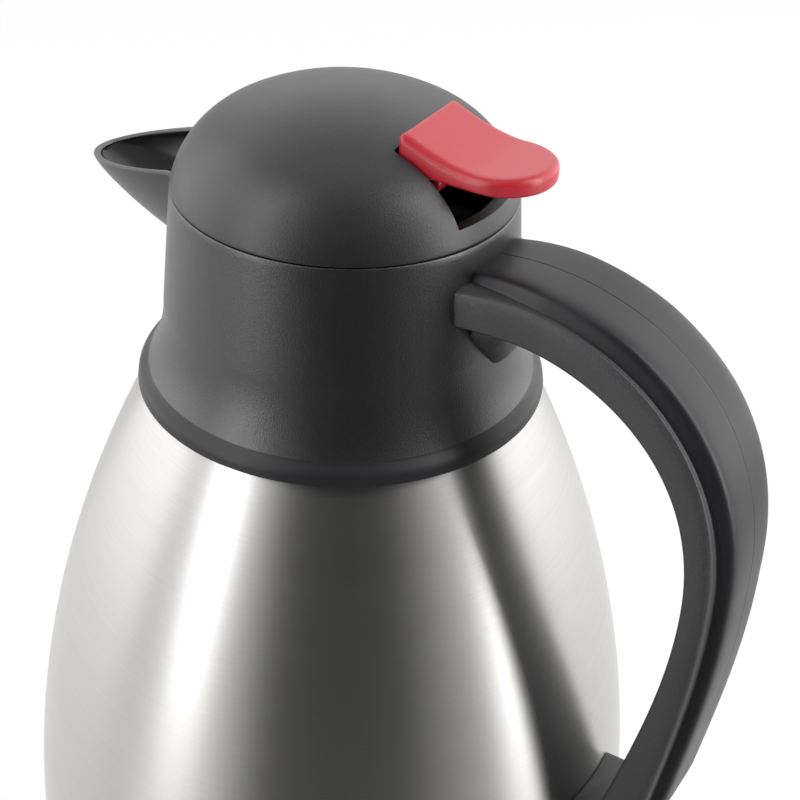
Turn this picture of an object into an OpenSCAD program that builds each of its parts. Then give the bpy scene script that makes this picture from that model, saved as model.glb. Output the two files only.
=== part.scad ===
// Thermal carafe: double-walled steel flask, moulded collar with spout,
// looped handle, and a domed twist-off stopper with a thumb lever valve.
// Z is up, +X runs through the handle, -X through the spout.
// The origin is the centre of the ring on which the carafe stands.

/* [Steel flask] */
// Radius of the steel body at its widest ring
body_r = 72.6; // [71:0.2:76]
// Height of the widest ring above the table
belly_z = 82; // [76:1:88]
// Radius of the long arc of the side above the widest ring
upper_arc_r = 274; // [268:1:290]
// Radius of the long arc of the side below the widest ring
lower_arc_r = 300; // [260:5:400]
// Thickness of each steel wall
steel_t = 1; // [0.8:0.1:1.2]
// Vacuum gap between the two walls
vacuum_gap = 6; // [4:0.5:7]
// Distance from the collar's outer face at the seam to the mouth of the inner flask
mouth_inset = 8.5; // [7.5:0.1:8.5]
// Vacuum gap between the walls at the neck
neck_gap = 2; // [1.5:0.1:2.5]
// Height of the steel rim above the table
rim_lift = 2; // [1.5:0.5:4]
// Height of the recess under the base plate
base_recess = 7; // [6:0.5:9]
// Height of the inner flask's floor above the table
flask_floor = 15; // [13:0.5:18]

/* [Collar] */
// Radius of the collar and the dome at the seam between them
lid_r = 36; // [36:0.1:37]
// Height of the seam above the foot of the collar's flange
collar_h = 44.95; // [43.95:0.1:46.95]
// Radius of the flange that lies on the steel shoulder
flange_r = 44.1; // [43.5:0.1:45]
// Width of the flange's lip that stands clear of the steel
flange_lip = 1.7; // [1.3:0.1:2]
// Height of the flange's edge
flange_edge = 0.6; // [0.5:0.1:1.2]
// Radius of the hollow flare above the flange
flare_r = 30.7; // [28:0.1:34]
// Height of the top of the flare below the seam
flare_drop = 26; // [24:0.5:28]
// Thickness of the collar's walls
collar_t = 2.3; // [2:0.1:2.6]
// Step in from the flask's mouth to the collar's throat, where the stopper goes
throat_step = 2.5; // [2.5:0.1:2.9]
// Depth of the collar's inner floor below the seam
floor_drop = 18.5; // [17:0.5:19]
// Thickness of the collar's inner floor
floor_t = 2.5; // [2:0.1:3]
// Thickness of the gasket on the steel mouth
gasket_t = 2; // [1.5:0.1:2.5]
// Depth to which the throat reaches below the collar's inner floor
throat_depth = 18; // [16:0.5:22]

/* [Spout] */
// Reach of the spout's tip from the axis
spout_reach = 64.5; // [60:0.5:68]
// Half the width of the spout's mouth where it leaves the collar
spout_half_w = 14.3; // [13:0.1:15.5]
// Depth of the spout's rim below the seam where it leaves the collar
spout_rim_drop = 2; // [1.5:0.1:2.4]
// Fall of the rim from the collar to the tip
spout_fall = 6.9; // [6:0.1:7.5]
// Depth of the keel below the seam where it leaves the collar
keel_drop = 27; // [26:0.1:28]
// Depth of the spout's front edge at the tip
tip_depth = 1.9; // [1.6:0.1:3]
// Thickness of the spout's wall
spout_t = 1.6; // [1.4:0.1:2]

/* [Dome and stopper] */
// Height of the dome above the seam
dome_h = 21; // [20.4:0.1:22.5]
// Radius of the rounded shoulder of the dome
dome_shoulder_r = 21.3; // [20.6:0.1:22]
// Depth of the shoulder's centre below the seam
dome_shoulder_drop = 4.2; // [3.8:0.1:4.6]
// Thickness of the dome's wall
dome_t = 2.2; // [2:0.1:2.4]
// Width of the gap between the dome and the collar
seam_gap = 0.3; // [0.3:0.1:0.6]
// Height of the stopper's skirt above the seam
skirt_rise = 3; // [2:0.5:4]
// Thickness of the stopper's deck
deck_t = 2.5; // [2:0.1:3]
// Depth of the deck's underside below the seam
deck_drop = 6; // [5.5:0.1:6.5]
// Radial clearance of the plug in the throat
plug_gap = 0.4; // [0.3:0.05:0.5]
// Wall of the stopper's plug
plug_t = 2; // [1.8:0.1:2.4]
// Depth of the plug's foot below the throat's end
plug_foot = 2; // [1:0.5:4]
// Radius of the valve's port in the foot of the plug
valve_port_r = 11; // [9:0.5:12]
// Height of the pouring windows in the plug
window_h = 7.5; // [6:0.5:8]
// Number of pouring windows
window_count = 4; // [3:1:6]

/* [Thumb lever] */
// Width of the lever
lever_w = 21.4; // [20:0.2:22]
// Side clearance of the lever in its slot
lever_side_gap = 0.6; // [0.5:0.1:0.8]
// Reach of the lever's thumb end from the axis
lever_reach = 46.4; // [45:0.2:48]
// Distance of the lever's inner edge from the axis
lever_inner_x = 18.1; // [17.9:0.1:18.6]
// Gap between the lever's inner edge and the end of its slot
slot_gap = 0.4; // [0.3:0.1:1]
// Height of the dip in the lever's upper face above the seam
lever_dip_rise = 15.6; // [15.2:0.1:16]
// Rise of the lever's upper face from the dip to its inner edge
lever_back_rise = 4.8; // [4.4:0.1:5]
// Thickness of the lever at the dip
lever_t = 3.4; // [3:0.1:3.8]
// Distance of the lever's pin from the axis
pin_x = 21.5; // [20.5:0.1:22.5]
// Height of the lever's pin above the seam
pin_rise = 8; // [7.8:0.1:8.2]
// Radius of the lever's pin
pin_r = 1.5; // [1.2:0.1:1.6]
// Running clearance of pins and stems
run_gap = 0.05; // [0.02:0.01:0.09]
// Height of the slot's lower edge above the seam
slot_rise = 4.1; // [3.8:0.1:4.5]

/* [Valve] */
// Radius of the valve's stem
stem_r = 3; // [2.5:0.1:3.2]
// Radius of the stem's lifting head
head_r = 6.2; // [5.8:0.1:6.6]
// Height of the underside of the stem's head above the seam
head_rise = 5; // [4.8:0.1:5.2]
// Radius of the valve's seal
seal_r = 13.5; // [12.8:0.1:14.5]
// Thickness of the valve's seal
seal_t = 2.5; // [2:0.1:3]
// Gap between pieces that only rest on each other
seat_gap = 0.2; // [0.1:0.05:0.3]
// Diameter of the spring's wire
wire_d = 0.9; // [0.7:0.1:1]
// Turns of the spring
spring_turns = 4.5; // [4:0.5:5]

/* [Handle] */
// Room for the hand between the widest ring of the steel and the handle, at the handle's farthest
grip_room = 15.9; // [14:0.1:19]
// Height below the seam at which the handle is farthest out
handle_peak_drop = 63; // [60:1:66]
// Height below the seam of the underside of the handle's root
root_drop = 15.9; // [15.4:0.1:16.4]
// Width of the grip's side flanges
grip_w = 26; // [24:0.2:28]
// Width of the raised back of the handle at its upper half
back_w = 22.4; // [21:0.2:22.8]
// Width by which the back is narrower at its lower half
back_taper = 2.6; // [1.6:0.2:3.2]
// Depth of the cove between the flanges and the back, at the grip
grip_t = 6.1; // [5.8:0.1:7]
// Extra depth of the cove at the root
root_extra = 2.7; // [2.2:0.1:3]
// Extra depth of the cove at the foot
foot_extra = 3.1; // [2.4:0.1:3.4]
// Rise of the back above the cove at the grip
back_rise = 3; // [2.7:0.1:3.4]
// Extra rise of the back at its upper half
back_swell = 1; // [0.6:0.1:1.3]
// Height of the top of the handle's foot above the table
foot_top = 121; // [118:1:124]
// Height of the lower screw above the table
screw_z = 104; // [102:1:107]
// Radius of the shank of the screws
screw_r = 2; // [1.6:0.1:2.2]

/* [Hidden] */
$fn = 96;
fine = 240;
eps = 0.01;

// Radii of the openings along the axis
mouth_r = lid_r - mouth_inset;
throat_r = mouth_r - throat_step;

// Heights along the axis
collar_z = upper_z(flange_r - flange_lip);
seam_z = collar_z + collar_h;
dome_z = seam_z + seam_gap;
top_z = seam_z + dome_h;
floor_z = seam_z - floor_drop;
lip_z = floor_z - floor_t - gasket_t;
throat_end = floor_z - throat_depth;
plug_z = throat_end - plug_foot;
deck_z = seam_z - deck_drop;
deck_top = deck_z + deck_t;

// Necks of the two steel walls
inner_neck_r = mouth_r + steel_t;
neck_r = inner_neck_r + neck_gap + steel_t;
shoulder_z = lip_z - 12;

// Dome arcs, tangent to each other and to the seam radius
shoulder_x = lid_r - sqrt(pow(dome_shoulder_r, 2) - pow(dome_shoulder_drop, 2));
shoulder_c = seam_z - dome_shoulder_drop;
crown_d = top_z - shoulder_c;
crown_r = (pow(shoulder_x, 2) + pow(crown_d, 2) - pow(dome_shoulder_r, 2))
    / (2 * (crown_d - dome_shoulder_r));
crown_c = top_z - crown_r;
blend_a = atan2(shoulder_x, shoulder_c - crown_c);

// Collar's outer face: a flare above the flange, then a straight taper up to the seam
flare_z = seam_z - flare_drop;
waist_r = flange_r - flare_r + sqrt(pow(flare_r, 2) - pow(flare_z - collar_z - flange_edge, 2));

// Stopper
bore_r = lid_r - collar_t;
skirt_r = bore_r - plug_gap;
plug_r = throat_r - plug_gap;
plug_in = plug_r - plug_t;
seat_z = plug_z + 2.5;

// Lever and valve
pin_z = seam_z + pin_rise;
slot_w = lever_w + 2 * lever_side_gap;
slot_x = lever_inner_x - slot_gap;
head_z = seam_z + head_rise;
head_t = 2;
spring_seat = top_z - dome_t - 1.4;
seal_z = seat_z + seat_gap;
lever_nose = lever_w / 2;
nose_x = lever_reach - lever_nose;

// Handle
root_z = seam_z - root_drop;
peak_z = seam_z - handle_peak_drop;
handle_reach = body_r + grip_room;
steel_x = upper_r(screw_z);
foot_x = steel_x - 0.6;
root_line = [[lid_r - 2, root_z], [lid_r + 26, root_z + 3],
    [handle_reach, peak_z + 35], [handle_reach, peak_z]];
grip_line = [[handle_reach, peak_z], [handle_reach, peak_z - 22],
    [foot_x + 10.6, foot_top + 21], [foot_x, foot_top - 15]];
foot_line = [[foot_x, foot_top - 15], [foot_x - 2.6, foot_top - 24],
    [foot_x - 6.4, foot_top - 31], [foot_x - 12.9, foot_top - 36]];
skin_gap = 0.2;

function upper_r(z) = body_r - upper_arc_r + sqrt(pow(upper_arc_r, 2) - pow(z - belly_z, 2));
function collar_r(z) = z > flare_z ? lid_r + (waist_r - lid_r) * (seam_z - z) / flare_drop
    : waist_r + flare_r - sqrt(pow(flare_r, 2) - pow(flare_z - z, 2));
function upper_z(r) = belly_z + sqrt(pow(upper_arc_r, 2) - pow(upper_arc_r - body_r + r, 2));
function bezier(l, t) = pow(1 - t, 3) * l[0] + 3 * pow(1 - t, 2) * t * l[1]
    + 3 * (1 - t) * t * t * l[2] + pow(t, 3) * l[3];
function bezier_slope(l, t) = pow(1 - t, 2) * (l[1] - l[0])
    + 2 * (1 - t) * t * (l[2] - l[1]) + t * t * (l[3] - l[2]);
function unit(v) = v / norm(v);
function clamp(v, lo, hi) = min(max(v, lo), hi);

// A solid through closed rings of equally many points, each counterclockwise seen from the last
module skin(rings) {
    n = len(rings[0]);
    last = len(rings) - 1;
    walls = [for (k = [0:last - 1]) for (i = [0:n - 1])
        each [[k * n + i, (k + 1) * n + i, (k + 1) * n + (i + 1) % n],
            [k * n + i, (k + 1) * n + (i + 1) % n, k * n + (i + 1) % n]]];
    start = [[for (i = [0:n - 1]) i]];
    end = [[for (i = [n - 1:-1:0]) last * n + i]];
    polyhedron(points = [for (r = rings) each r], faces = concat(start, walls, end), convexity = 10);
}

module ring(r_in, r_out, z0, z1) {
    translate([0, 0, z0]) difference() {
        cylinder(r = r_out, h = z1 - z0, $fn = fine);
        translate([0, 0, -1]) cylinder(r = r_in, h = z1 - z0 + 2, $fn = fine);
    }
}

// Outline of the flask's side, drawn in by inset, between two heights
module side_region(inset, z0, z1) {
    intersection() {
        union() {
            intersection() {
                translate([body_r - upper_arc_r, belly_z]) circle(r = upper_arc_r - inset, $fn = 720);
                translate([0, belly_z]) square([body_r + 10, upper_arc_r]);
            }
            intersection() {
                translate([body_r - lower_arc_r, belly_z]) circle(r = lower_arc_r - inset, $fn = 720);
                translate([0, belly_z - lower_arc_r]) square([body_r + 10, lower_arc_r + eps]);
            }
        }
        translate([0, z0]) square([body_r + 10, z1 - z0]);
    }
}

// ---- Steel flask ----

module outer_shell() {
    color("silver") rotate_extrude($fn = fine) {
        difference() {
            side_region(0, rim_lift, shoulder_z);
            side_region(steel_t, rim_lift - 1, shoulder_z - steel_t);
            translate([0, shoulder_z - 2 * steel_t]) square([neck_r - steel_t, 3 * steel_t]);
        }
        translate([neck_r - steel_t, shoulder_z - steel_t]) square([steel_t, lip_z - shoulder_z]);
    }
}

module inner_flask() {
    wall = steel_t + vacuum_gap;
    top = shoulder_z - vacuum_gap;
    color("gainsboro") rotate_extrude($fn = fine) {
        difference() {
            side_region(wall, flask_floor - steel_t, top);
            side_region(wall + steel_t, flask_floor, top - steel_t);
            translate([0, top - 2 * steel_t]) square([mouth_r, 3 * steel_t]);
        }
        translate([mouth_r, top - steel_t]) square([steel_t, lip_z - top + steel_t]);
        translate([mouth_r, lip_z - steel_t]) square([neck_r - mouth_r, steel_t]);
    }
}

module base_plate() {
    fit = steel_t + 0.1;
    dimple_r = 9;
    color("darkgray") rotate_extrude($fn = fine) {
        difference() {
            side_region(fit, rim_lift, base_recess + steel_t);
            side_region(fit + steel_t, rim_lift - 1, base_recess);
            translate([0, base_recess]) square([dimple_r, steel_t + 1]);
        }
        translate([0, base_recess + steel_t]) square([dimple_r + steel_t, steel_t]);
        translate([dimple_r, base_recess]) square([steel_t, steel_t + eps]);
    }
}

// Rubber pad: a thick outer ring that is glued to the base plate and a thin web across the middle
module base_pad() {
    outer = body_r - lower_arc_r + sqrt(pow(lower_arc_r, 2) - pow(belly_z - rim_lift, 2)) - 4;
    width = 9;
    web_t = 2.5;
    groove_w = 1.5;
    groove_t = 0.7;
    color("dimgray") rotate_extrude($fn = fine) difference() {
        union() {
            translate([outer - width, 0]) square([width, base_recess]);
            square([outer - width + eps, web_t]);
        }
        for (k = [1:3]) translate([k * (outer - width) / 4, -1]) square([groove_w, 1 + groove_t]);
        translate([outer - width / 2 - groove_w, -1]) square([groove_w, 1 + groove_t]);
    }
}

module getter() {
    color("gray") translate([0, 20, flask_floor - steel_t - 1.5]) cylinder(r = 5, h = 1.5);
}

// ---- Collar and spout ----

module collar_outline() {
    edge_r = 0.3;
    difference() {
        polygon([[0, collar_z], [flange_r, collar_z], [flange_r, collar_z + flange_edge - edge_r],
            [flange_r - edge_r, collar_z + flange_edge], [flange_r - edge_r, flare_z],
            [waist_r, flare_z], [lid_r, seam_z], [0, seam_z]]);
        translate([waist_r + flare_r, flare_z]) circle(r = flare_r, $fn = 360);
    }
}

// Half the width of the spout at a share s of its length
function spout_w(s) = spout_half_w * pow(max(1 - pow(s, 1.82), 0), 0.516);
function spout_rim(s) = seam_z - spout_rim_drop - spout_fall * s;
function spout_keel(s) = seam_z - keel_drop
    + (keel_drop - spout_rim_drop - spout_fall - tip_depth) * (0.5 * s + 0.5 * pow(s, 2.2));
spout_len = spout_reach - lid_r;
spout_steps = 26;

// Shares of the length, closer together towards the tip; those before 0 lie inside the collar
function spout_share(k) = k < 0 ? 0 : 1 - pow(1 - k / spout_steps, 1.5);

// One ring of the spout: two upper corners, then a keel whose roundness is set by a power
function spout_ring(x, w, top, rim, keel, power) = concat(
    [[-x, -w, top], [-x, w, top]],
    [for (a = [10:10:170]) [-x, w * sign(cos(a)) * pow(abs(cos(a)), power),
        rim - (rim - keel) * pow(sin(a), power)]]);

module spout_body() {
    skin([for (k = [-6:spout_steps]) let (s = spout_share(k),
        x = lid_r + spout_len * s + min(k, 0) * 1.2)
        spout_ring(x, max(spout_w(s), 0.4), spout_rim(s), spout_rim(s), spout_keel(s), 1.5)]);
}

// The channel is open above and runs from the chamber to the tip
module spout_channel() {
    sill = floor_z + 2.5;
    narrow = (spout_half_w - spout_t) / spout_half_w;
    skin([for (k = [-7:spout_steps]) let (s = spout_share(k),
        x = lid_r + (spout_len - spout_t) * s + min(k, 0) * 1.2,
        bed = min(sill + (spout_keel(1) + spout_t - sill) * s * s, spout_rim(s) - 0.8))
        spout_ring(x, max(spout_w(s) * narrow, 0.3), seam_z + 3, spout_rim(s), bed, 1.05)]);
}

// The collar without its spout: outer wall, inner floor, and a hollow foot round the steel neck
module collar_shell() {
    rotate_extrude($fn = fine) difference() {
        collar_outline();
        intersection() {
            translate([-collar_t, -collar_t]) collar_outline();
            translate([0, collar_z - 8]) square([flange_r, floor_z - floor_t - collar_z + 8]);
        }
        translate([0, floor_z]) square([bore_r, floor_drop + 1]);
        translate([0, collar_z - 8]) square([throat_r, floor_z]);
    }
}

// Ribs that centre the collar on the steel neck
module collar_ribs() {
    count = 6;
    rib_t = 1.8;
    for (k = [0:count - 1]) rotate([0, 0, (k + 0.5) * 360 / count])
        translate([0, rib_t / 2, 0]) rotate([90, 0, 0]) linear_extrude(rib_t) intersection() {
            translate([-1, -1]) collar_outline();
            translate([neck_r + plug_gap, collar_z]) square([flange_r, floor_z - floor_t - collar_z + 1]);
        }
}

module collar() {
    color([0.17, 0.17, 0.18]) difference() {
        union() {
            collar_shell();
            collar_ribs();
            spout_shell();
        }
        rotate_extrude($fn = fine) side_region(-skin_gap, 0, shoulder_z + skin_gap);
        spout_channel();
        collar_screw_hole();
    }
    color([0.17, 0.17, 0.18]) ring(throat_r, throat_r + 2, throat_end, floor_z);
}

module spout_shell() {
    difference() {
        spout_body();
        translate([0, 0, collar_z]) cylinder(r = bore_r + 0.6, h = collar_h + 10, $fn = fine);
    }
}

module neck_gasket() {
    color("lightgray") ring(inner_neck_r - 0.5, neck_r - 0.3, lip_z, lip_z + gasket_t);
}

// ---- Handle ----

screw_head_r = 3.4;
root_screw_z = floor_z - floor_t - screw_head_r - 0.2;
root_screw_x = collar_r(root_screw_z) - collar_t + 0.3;

module along_x(x, z) {
    translate([x, 0, z]) rotate([0, 90, 0]) children();
}

module collar_screw_hole() {
    along_x(root_screw_x - 1, root_screw_z) cylinder(r = screw_r + 0.1, h = 5.6);
    along_x(root_screw_x - 3, root_screw_z) cylinder(r = screw_head_r + 0.2, h = 3);
}

// Depth of the cove at height z
function cove_t(z) = z > peak_z
    ? grip_t + root_extra * pow((z - peak_z) / (root_z - peak_z), 1.5)
    : grip_t + foot_extra * min(pow((peak_z - z) / (peak_z - foot_top) / 0.8, 1.7), 1);

// Rise of the back: higher above the grip, and falling away in front of the collar
function rise_at(p) = (back_rise + back_swell * clamp((p[1] - peak_z) / 33, 0, 1))
    * (p[1] > peak_z ? pow(clamp((p[0] - lid_r - 1.2) / 28, 0.003, 1), 0.4) : 1);

// Half of the back's width: narrower round the grip and below it
function back_half(z) = (back_w - back_taper * clamp((peak_z + 32 - z) / 30, 0, 1)) / 2;

// One ring of the handle: flat inner face, side flange with a rounded edge, cove, raised back
function handle_ring(p, along) = let (
        out = [-along[1], along[0]],
        t = cove_t(p[1]),
        rise = max(rise_at(p), 0.5),
        top = t + rise,
        gw = grip_w / 2,
        bw = back_half(p[1]),
        half = [[gw - 0.9, 0], [gw - 0.25, 0.25], [gw, 0.9], [gw, t - 2.8], [gw - 0.2, t - 1.9],
            [gw - 0.7, t - 1.2], [gw - 1.2, t - 0.75], [bw + 0.35, t - 0.15],
            [bw + 0.05, t + 0.1], [bw - 0.05, top - min(1.2, 0.7 * rise)],
            [bw - 0.3, top - min(0.65, 0.4 * rise)], [bw - 1.2, top - min(0.25, 0.15 * rise)],
            [bw - 4, top - 0.05]],
        full = concat([[0, 0]], half, [[0, top]],
            [for (i = [len(half) - 1:-1:0]) [-half[i][0], half[i][1]]]))
    [for (q = full) [p[0] + out[0] * q[1], q[0], p[1] + out[1] * q[1]]];

function handle_rings(line, shares) = [for (t = shares)
    handle_ring(bezier(line, t), unit(bezier_slope(line, t)))];

module handle_loop() {
    skin(concat(
        handle_rings(root_line, [for (k = [0:24]) pow(k / 24, 1.3)]),
        handle_rings(grip_line, [for (k = [1:16]) k / 16]),
        handle_rings(foot_line, [for (k = [1:7]) k / 7])));
}

// The core of the foot, with a level top, between the handle's inner face and the steel
module foot_core() {
    x0 = upper_r(foot_top) - 3;
    core_w = back_w - back_taper;
    translate([0, core_w / 2, 0]) rotate([90, 0, 0]) linear_extrude(core_w)
        polygon([[x0, foot_top], [foot_x + 4.5, foot_top], [foot_x + 2.4, foot_top - 15],
            [foot_x + 0.4, foot_top - 27], [x0, foot_top - 27]]);
}

// Pointed lobe under the root, which lies against the collar and takes the upper screw
module root_lobe() {
    big_r = 10.5;
    tip_r = 2.5;
    intersection() {
        along_x(lid_r - 2, 0) linear_extrude(10) hull() {
            translate([-root_z - 0.5, 0]) circle(r = big_r);
            translate([-root_z + 12.6, 0]) circle(r = tip_r);
        }
        translate([0, 20, 0]) rotate([90, 0, 0]) linear_extrude(40)
            polygon([[lid_r - 3, root_z - 18], [lid_r + 2.5, root_z - 18], [lid_r + 3.4, root_z - 14],
                [lid_r + 9, root_z - 1], [lid_r + 9, root_z + 8], [lid_r - 3, root_z + 8]]);
    }
}

module handle() {
    color([0.19, 0.19, 0.2]) difference() {
        union() {
            handle_loop();
            foot_core();
            root_lobe();
        }
        rotate_extrude($fn = fine) side_region(-skin_gap, 0, collar_z);
        rotate_extrude($fn = fine) translate([skin_gap, 0]) collar_outline();
        collar_screw_hole();
        along_x(steel_x, screw_z) cylinder(r = screw_r + 0.1, h = 30);
        along_x(steel_x + 5.6, screw_z) cylinder(r = 4.2, h = 30);
        rotate([0, 0, -8]) rotate_extrude(angle = 16, $fn = fine) bracket_section(skin_gap);
        along_x(steel_x, screw_z) cylinder(r = 4.4, h = 3.6);
    }
}

module bracket_section(grow) {
    difference() {
        side_region(-1.3 - grow, screw_z - 8 - grow, screw_z + 8 + grow);
        side_region(-0.1, 0, shoulder_z);
    }
}

module weld_bracket() {
    color("silver") difference() {
        union() {
            rotate([0, 0, -7.5]) rotate_extrude(angle = 15, $fn = fine) bracket_section(0);
            along_x(steel_x + 0.8, screw_z) cylinder(r = 4.2, h = 2.6);
        }
        along_x(steel_x - 2, screw_z) cylinder(r = screw_r + 0.05, h = 20);
    }
}

module lower_screw() {
    color("silver") along_x(steel_x + 0.6, screw_z) {
        cylinder(r = screw_r, h = 5);
        translate([0, 0, 5]) cylinder(r = 3.8, h = 1.6);
    }
}

module screw_cover() {
    color([0.17, 0.17, 0.18]) along_x(steel_x + 7.3, screw_z) cylinder(r = 4.1, h = 1.4);
}

module collar_screw() {
    color("silver") along_x(root_screw_x - 1.7, root_screw_z) {
        cylinder(r = screw_r, h = 6);
        cylinder(r = screw_head_r, h = 1.6);
    }
}

// ---- Dome ----

module dome_region(inset, z0) {
    split = (crown_r - inset) * sin(blend_a);
    intersection() {
        union() {
            intersection() {
                translate([0, crown_c]) circle(r = crown_r - inset, $fn = 360);
                square([split, top_z]);
            }
            intersection() {
                translate([shoulder_x, shoulder_c]) circle(r = dome_shoulder_r - inset, $fn = 360);
                translate([split - eps, 0]) square([lid_r, top_z]);
            }
        }
        translate([0, z0]) square([lid_r, top_z]);
    }
}

// Ribs inside the dome that stand on the stopper's deck
module dome_ribs() {
    rib_t = 1.6;
    rib_top = seam_z + 10;
    foot_r = skirt_r - 2.6;
    intersection() {
        for (a = [60:60:300]) rotate([0, 0, a]) translate([0, rib_t / 2, 0]) rotate([90, 0, 0])
            linear_extrude(rib_t) polygon([[foot_r - 6, deck_top], [foot_r, deck_top],
                [foot_r, seam_z + skirt_rise + 0.4], [lid_r, seam_z + skirt_rise + 0.4],
                [lid_r, rib_top], [foot_r - 4, rib_top]]);
        rotate_extrude($fn = fine) union() {
            dome_region(dome_t / 2, dome_z);
            square([foot_r, dome_z + 1]);
        }
    }
}

module dome() {
    color([0.2, 0.2, 0.21]) difference() {
        union() {
            rotate_extrude($fn = fine) difference() {
                dome_region(0, dome_z);
                dome_region(dome_t, dome_z - 1);
            }
            dome_ribs();
            translate([0, 0, spring_seat]) cylinder(r = 7, h = 2.4);
            translate([0, 0, spring_seat - 3]) cylinder(r = 2.8, h = 4);
        }
        translate([slot_x, -slot_w / 2, seam_z + slot_rise]) cube([lid_r, slot_w, dome_h]);
    }
}

// ---- Stopper ----

ear_t = 2.4;
ear_y = slot_w / 2 + 0.3;

module lid_base() {
    guide_z = deck_z - 5;
    color([0.16, 0.16, 0.17]) difference() {
        union() {
            ring(stem_r, skirt_r, deck_z, deck_top);
            ring(skirt_r - 2, skirt_r, deck_z, seam_z + 0.2);
            ring(skirt_r - 2, skirt_r - 0.7, deck_z, seam_z + skirt_rise);
            ring(stem_r, stem_r + 2.5, guide_z, seam_z + 0.4);
            ring(plug_in - 2.2, plug_in - 0.2, deck_z - 3, deck_z);
            for (y = [-ear_y, ear_y + ear_t]) translate([pin_x, y, 0]) rotate([90, 0, 0]) {
                translate([0, pin_z, 0]) cylinder(r = 3, h = ear_t);
                translate([-3, deck_z + 1, 0]) cube([6, pin_z - deck_z - 1, ear_t]);
            }
        }
        translate([0, 0, guide_z - 1]) cylinder(r = stem_r + run_gap, h = 20);
        translate([0, 0, guide_z + 1.2]) cylinder(r = stem_r + 1.1, h = 1.2);
        translate([pin_x, 20, pin_z]) rotate([90, 0, 0]) cylinder(r = pin_r + run_gap, h = 40);
    }
}

module stopper_plug() {
    window_z = deck_z - 3 - window_h;
    color([0.22, 0.22, 0.23]) difference() {
        union() {
            ring(plug_in, plug_r, plug_z, deck_z);
            ring(valve_port_r, plug_r - 0.5, plug_z, seat_z);
        }
        ring(plug_r - 1, plug_r + 1, seat_z + 1.2, seat_z + 4.4);
        for (k = [0:window_count - 1]) rotate([0, 0, 180 / window_count + k * 360 / window_count])
            translate([0, -plug_r * sin(130 / window_count), window_z])
                cube([plug_r + 2, 2 * plug_r * sin(130 / window_count), window_h]);
    }
}

module stopper_gasket() {
    color([0.85, 0.85, 0.82]) ring(plug_r - 0.9, throat_r - seat_gap, seat_z + 1.4, seat_z + 4.2);
}

module stem_seal() {
    color([0.85, 0.85, 0.82]) translate([0, 0, deck_z - 3.2]) rotate_extrude($fn = 64)
        translate([stem_r + 0.6, 0]) circle(r = 0.48, $fn = 24);
}

module lever_pin() {
    length = 2 * (ear_y + ear_t);
    color("silver") translate([pin_x, length / 2, pin_z]) rotate([90, 0, 0]) cylinder(r = pin_r, h = length);
}

// ---- Thumb lever ----

// Height of the lever's upper face above the seam: it slopes to a dip and rises a little to the tip
dip_run = 14.3;
dip_x = lever_inner_x + dip_run;
function lever_top(x) = lever_dip_rise + lever_back_rise * pow(clamp((dip_x - x) / dip_run, 0, 1), 1.15)
    + 0.8 * pow(clamp((x - dip_x) / (lever_reach - dip_x), 0, 1), 1.6);
// Height of its lower face: level under the thumb, deeper over the pin
function lever_low(x) = lever_dip_rise - lever_t
    - 2.6 * pow(clamp((lever_inner_x + 6.5 - x) / 3, 0, 1), 2) * (3 - 2 * clamp((lever_inner_x + 6.5 - x) / 3, 0, 1));
function edge_gap(x, y) = x > nose_x ? lever_nose - norm([x - nose_x, y]) : lever_nose - abs(y);
function edge_drop(e, r) = r - sqrt(r * r - pow(r - clamp(e, 0, r), 2));

function lever_ring(x) = let (
        w = x > nose_x ? sqrt(max(pow(lever_nose, 2) - pow(x - nose_x, 2), 0.04)) : lever_nose,
        f = [1, 0.985, 0.95, 0.9, 0.83, 0.45, 0, -0.45, -0.83, -0.9, -0.95, -0.985, -1])
    concat([for (k = f) [x, k * w, seam_z + lever_top(x) - edge_drop(edge_gap(x, k * w), 1.6)]],
        [for (k = f) [x, -k * w, seam_z + lever_low(x) + edge_drop(edge_gap(x, k * w), 0.8)]]);

module lever_paddle() {
    skin(concat([for (k = [0:14]) lever_ring(lever_inner_x + (nose_x - lever_inner_x) * k / 14)],
        [for (a = [8:8:80]) lever_ring(nose_x + lever_nose * sin(a))],
        [lever_ring(nose_x + lever_nose * sin(86))]));
}

module lever() {
    web_w = 12.6;
    fork_z = head_z - 0.3;
    color([0.8, 0.12, 0.15]) difference() {
        union() {
            lever_paddle();
            translate([pin_x, web_w / 2, pin_z]) rotate([90, 0, 0]) cylinder(r = 3.2, h = web_w);
            translate([0, web_w / 2, 0]) rotate([90, 0, 0]) linear_extrude(web_w)
                polygon([[pin_x + 3.2, pin_z], [pin_x + 6, pin_z + 6.5], [pin_x - 2, pin_z + 7.5],
                    [pin_x - 3.2, pin_z], [12, fork_z], [0, fork_z], [-6, fork_z - 1.8],
                    [-6, fork_z - 3.2], [12, fork_z - 3.6], [pin_x - 2, pin_z - 2.4], [pin_x, pin_z - 3.1]]);
        }
        translate([-8, -stem_r - 0.4, fork_z - 6]) cube([12.5, 2 * stem_r + 0.8, 12]);
        translate([pin_x, 15, pin_z]) rotate([90, 0, 0]) cylinder(r = pin_r + run_gap, h = 30);
    }
}

// ---- Valve ----

module valve_stem() {
    color([0.9, 0.9, 0.88]) {
        translate([0, 0, seal_z - 2.2]) cylinder(r = stem_r, h = head_z + head_t - seal_z + 4.2);
        translate([0, 0, head_z]) cylinder(r = head_r, h = head_t);
        translate([0, 0, seal_z + seal_t]) cylinder(r = seal_r - 1, h = 2);
        translate([0, 0, seal_z - 2.2]) cylinder(r = stem_r + 1, h = 2.2);
    }
}

module valve_seal() {
    color([0.75, 0.75, 0.72]) ring(stem_r, seal_r, seal_z, seal_z + seal_t);
}

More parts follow.
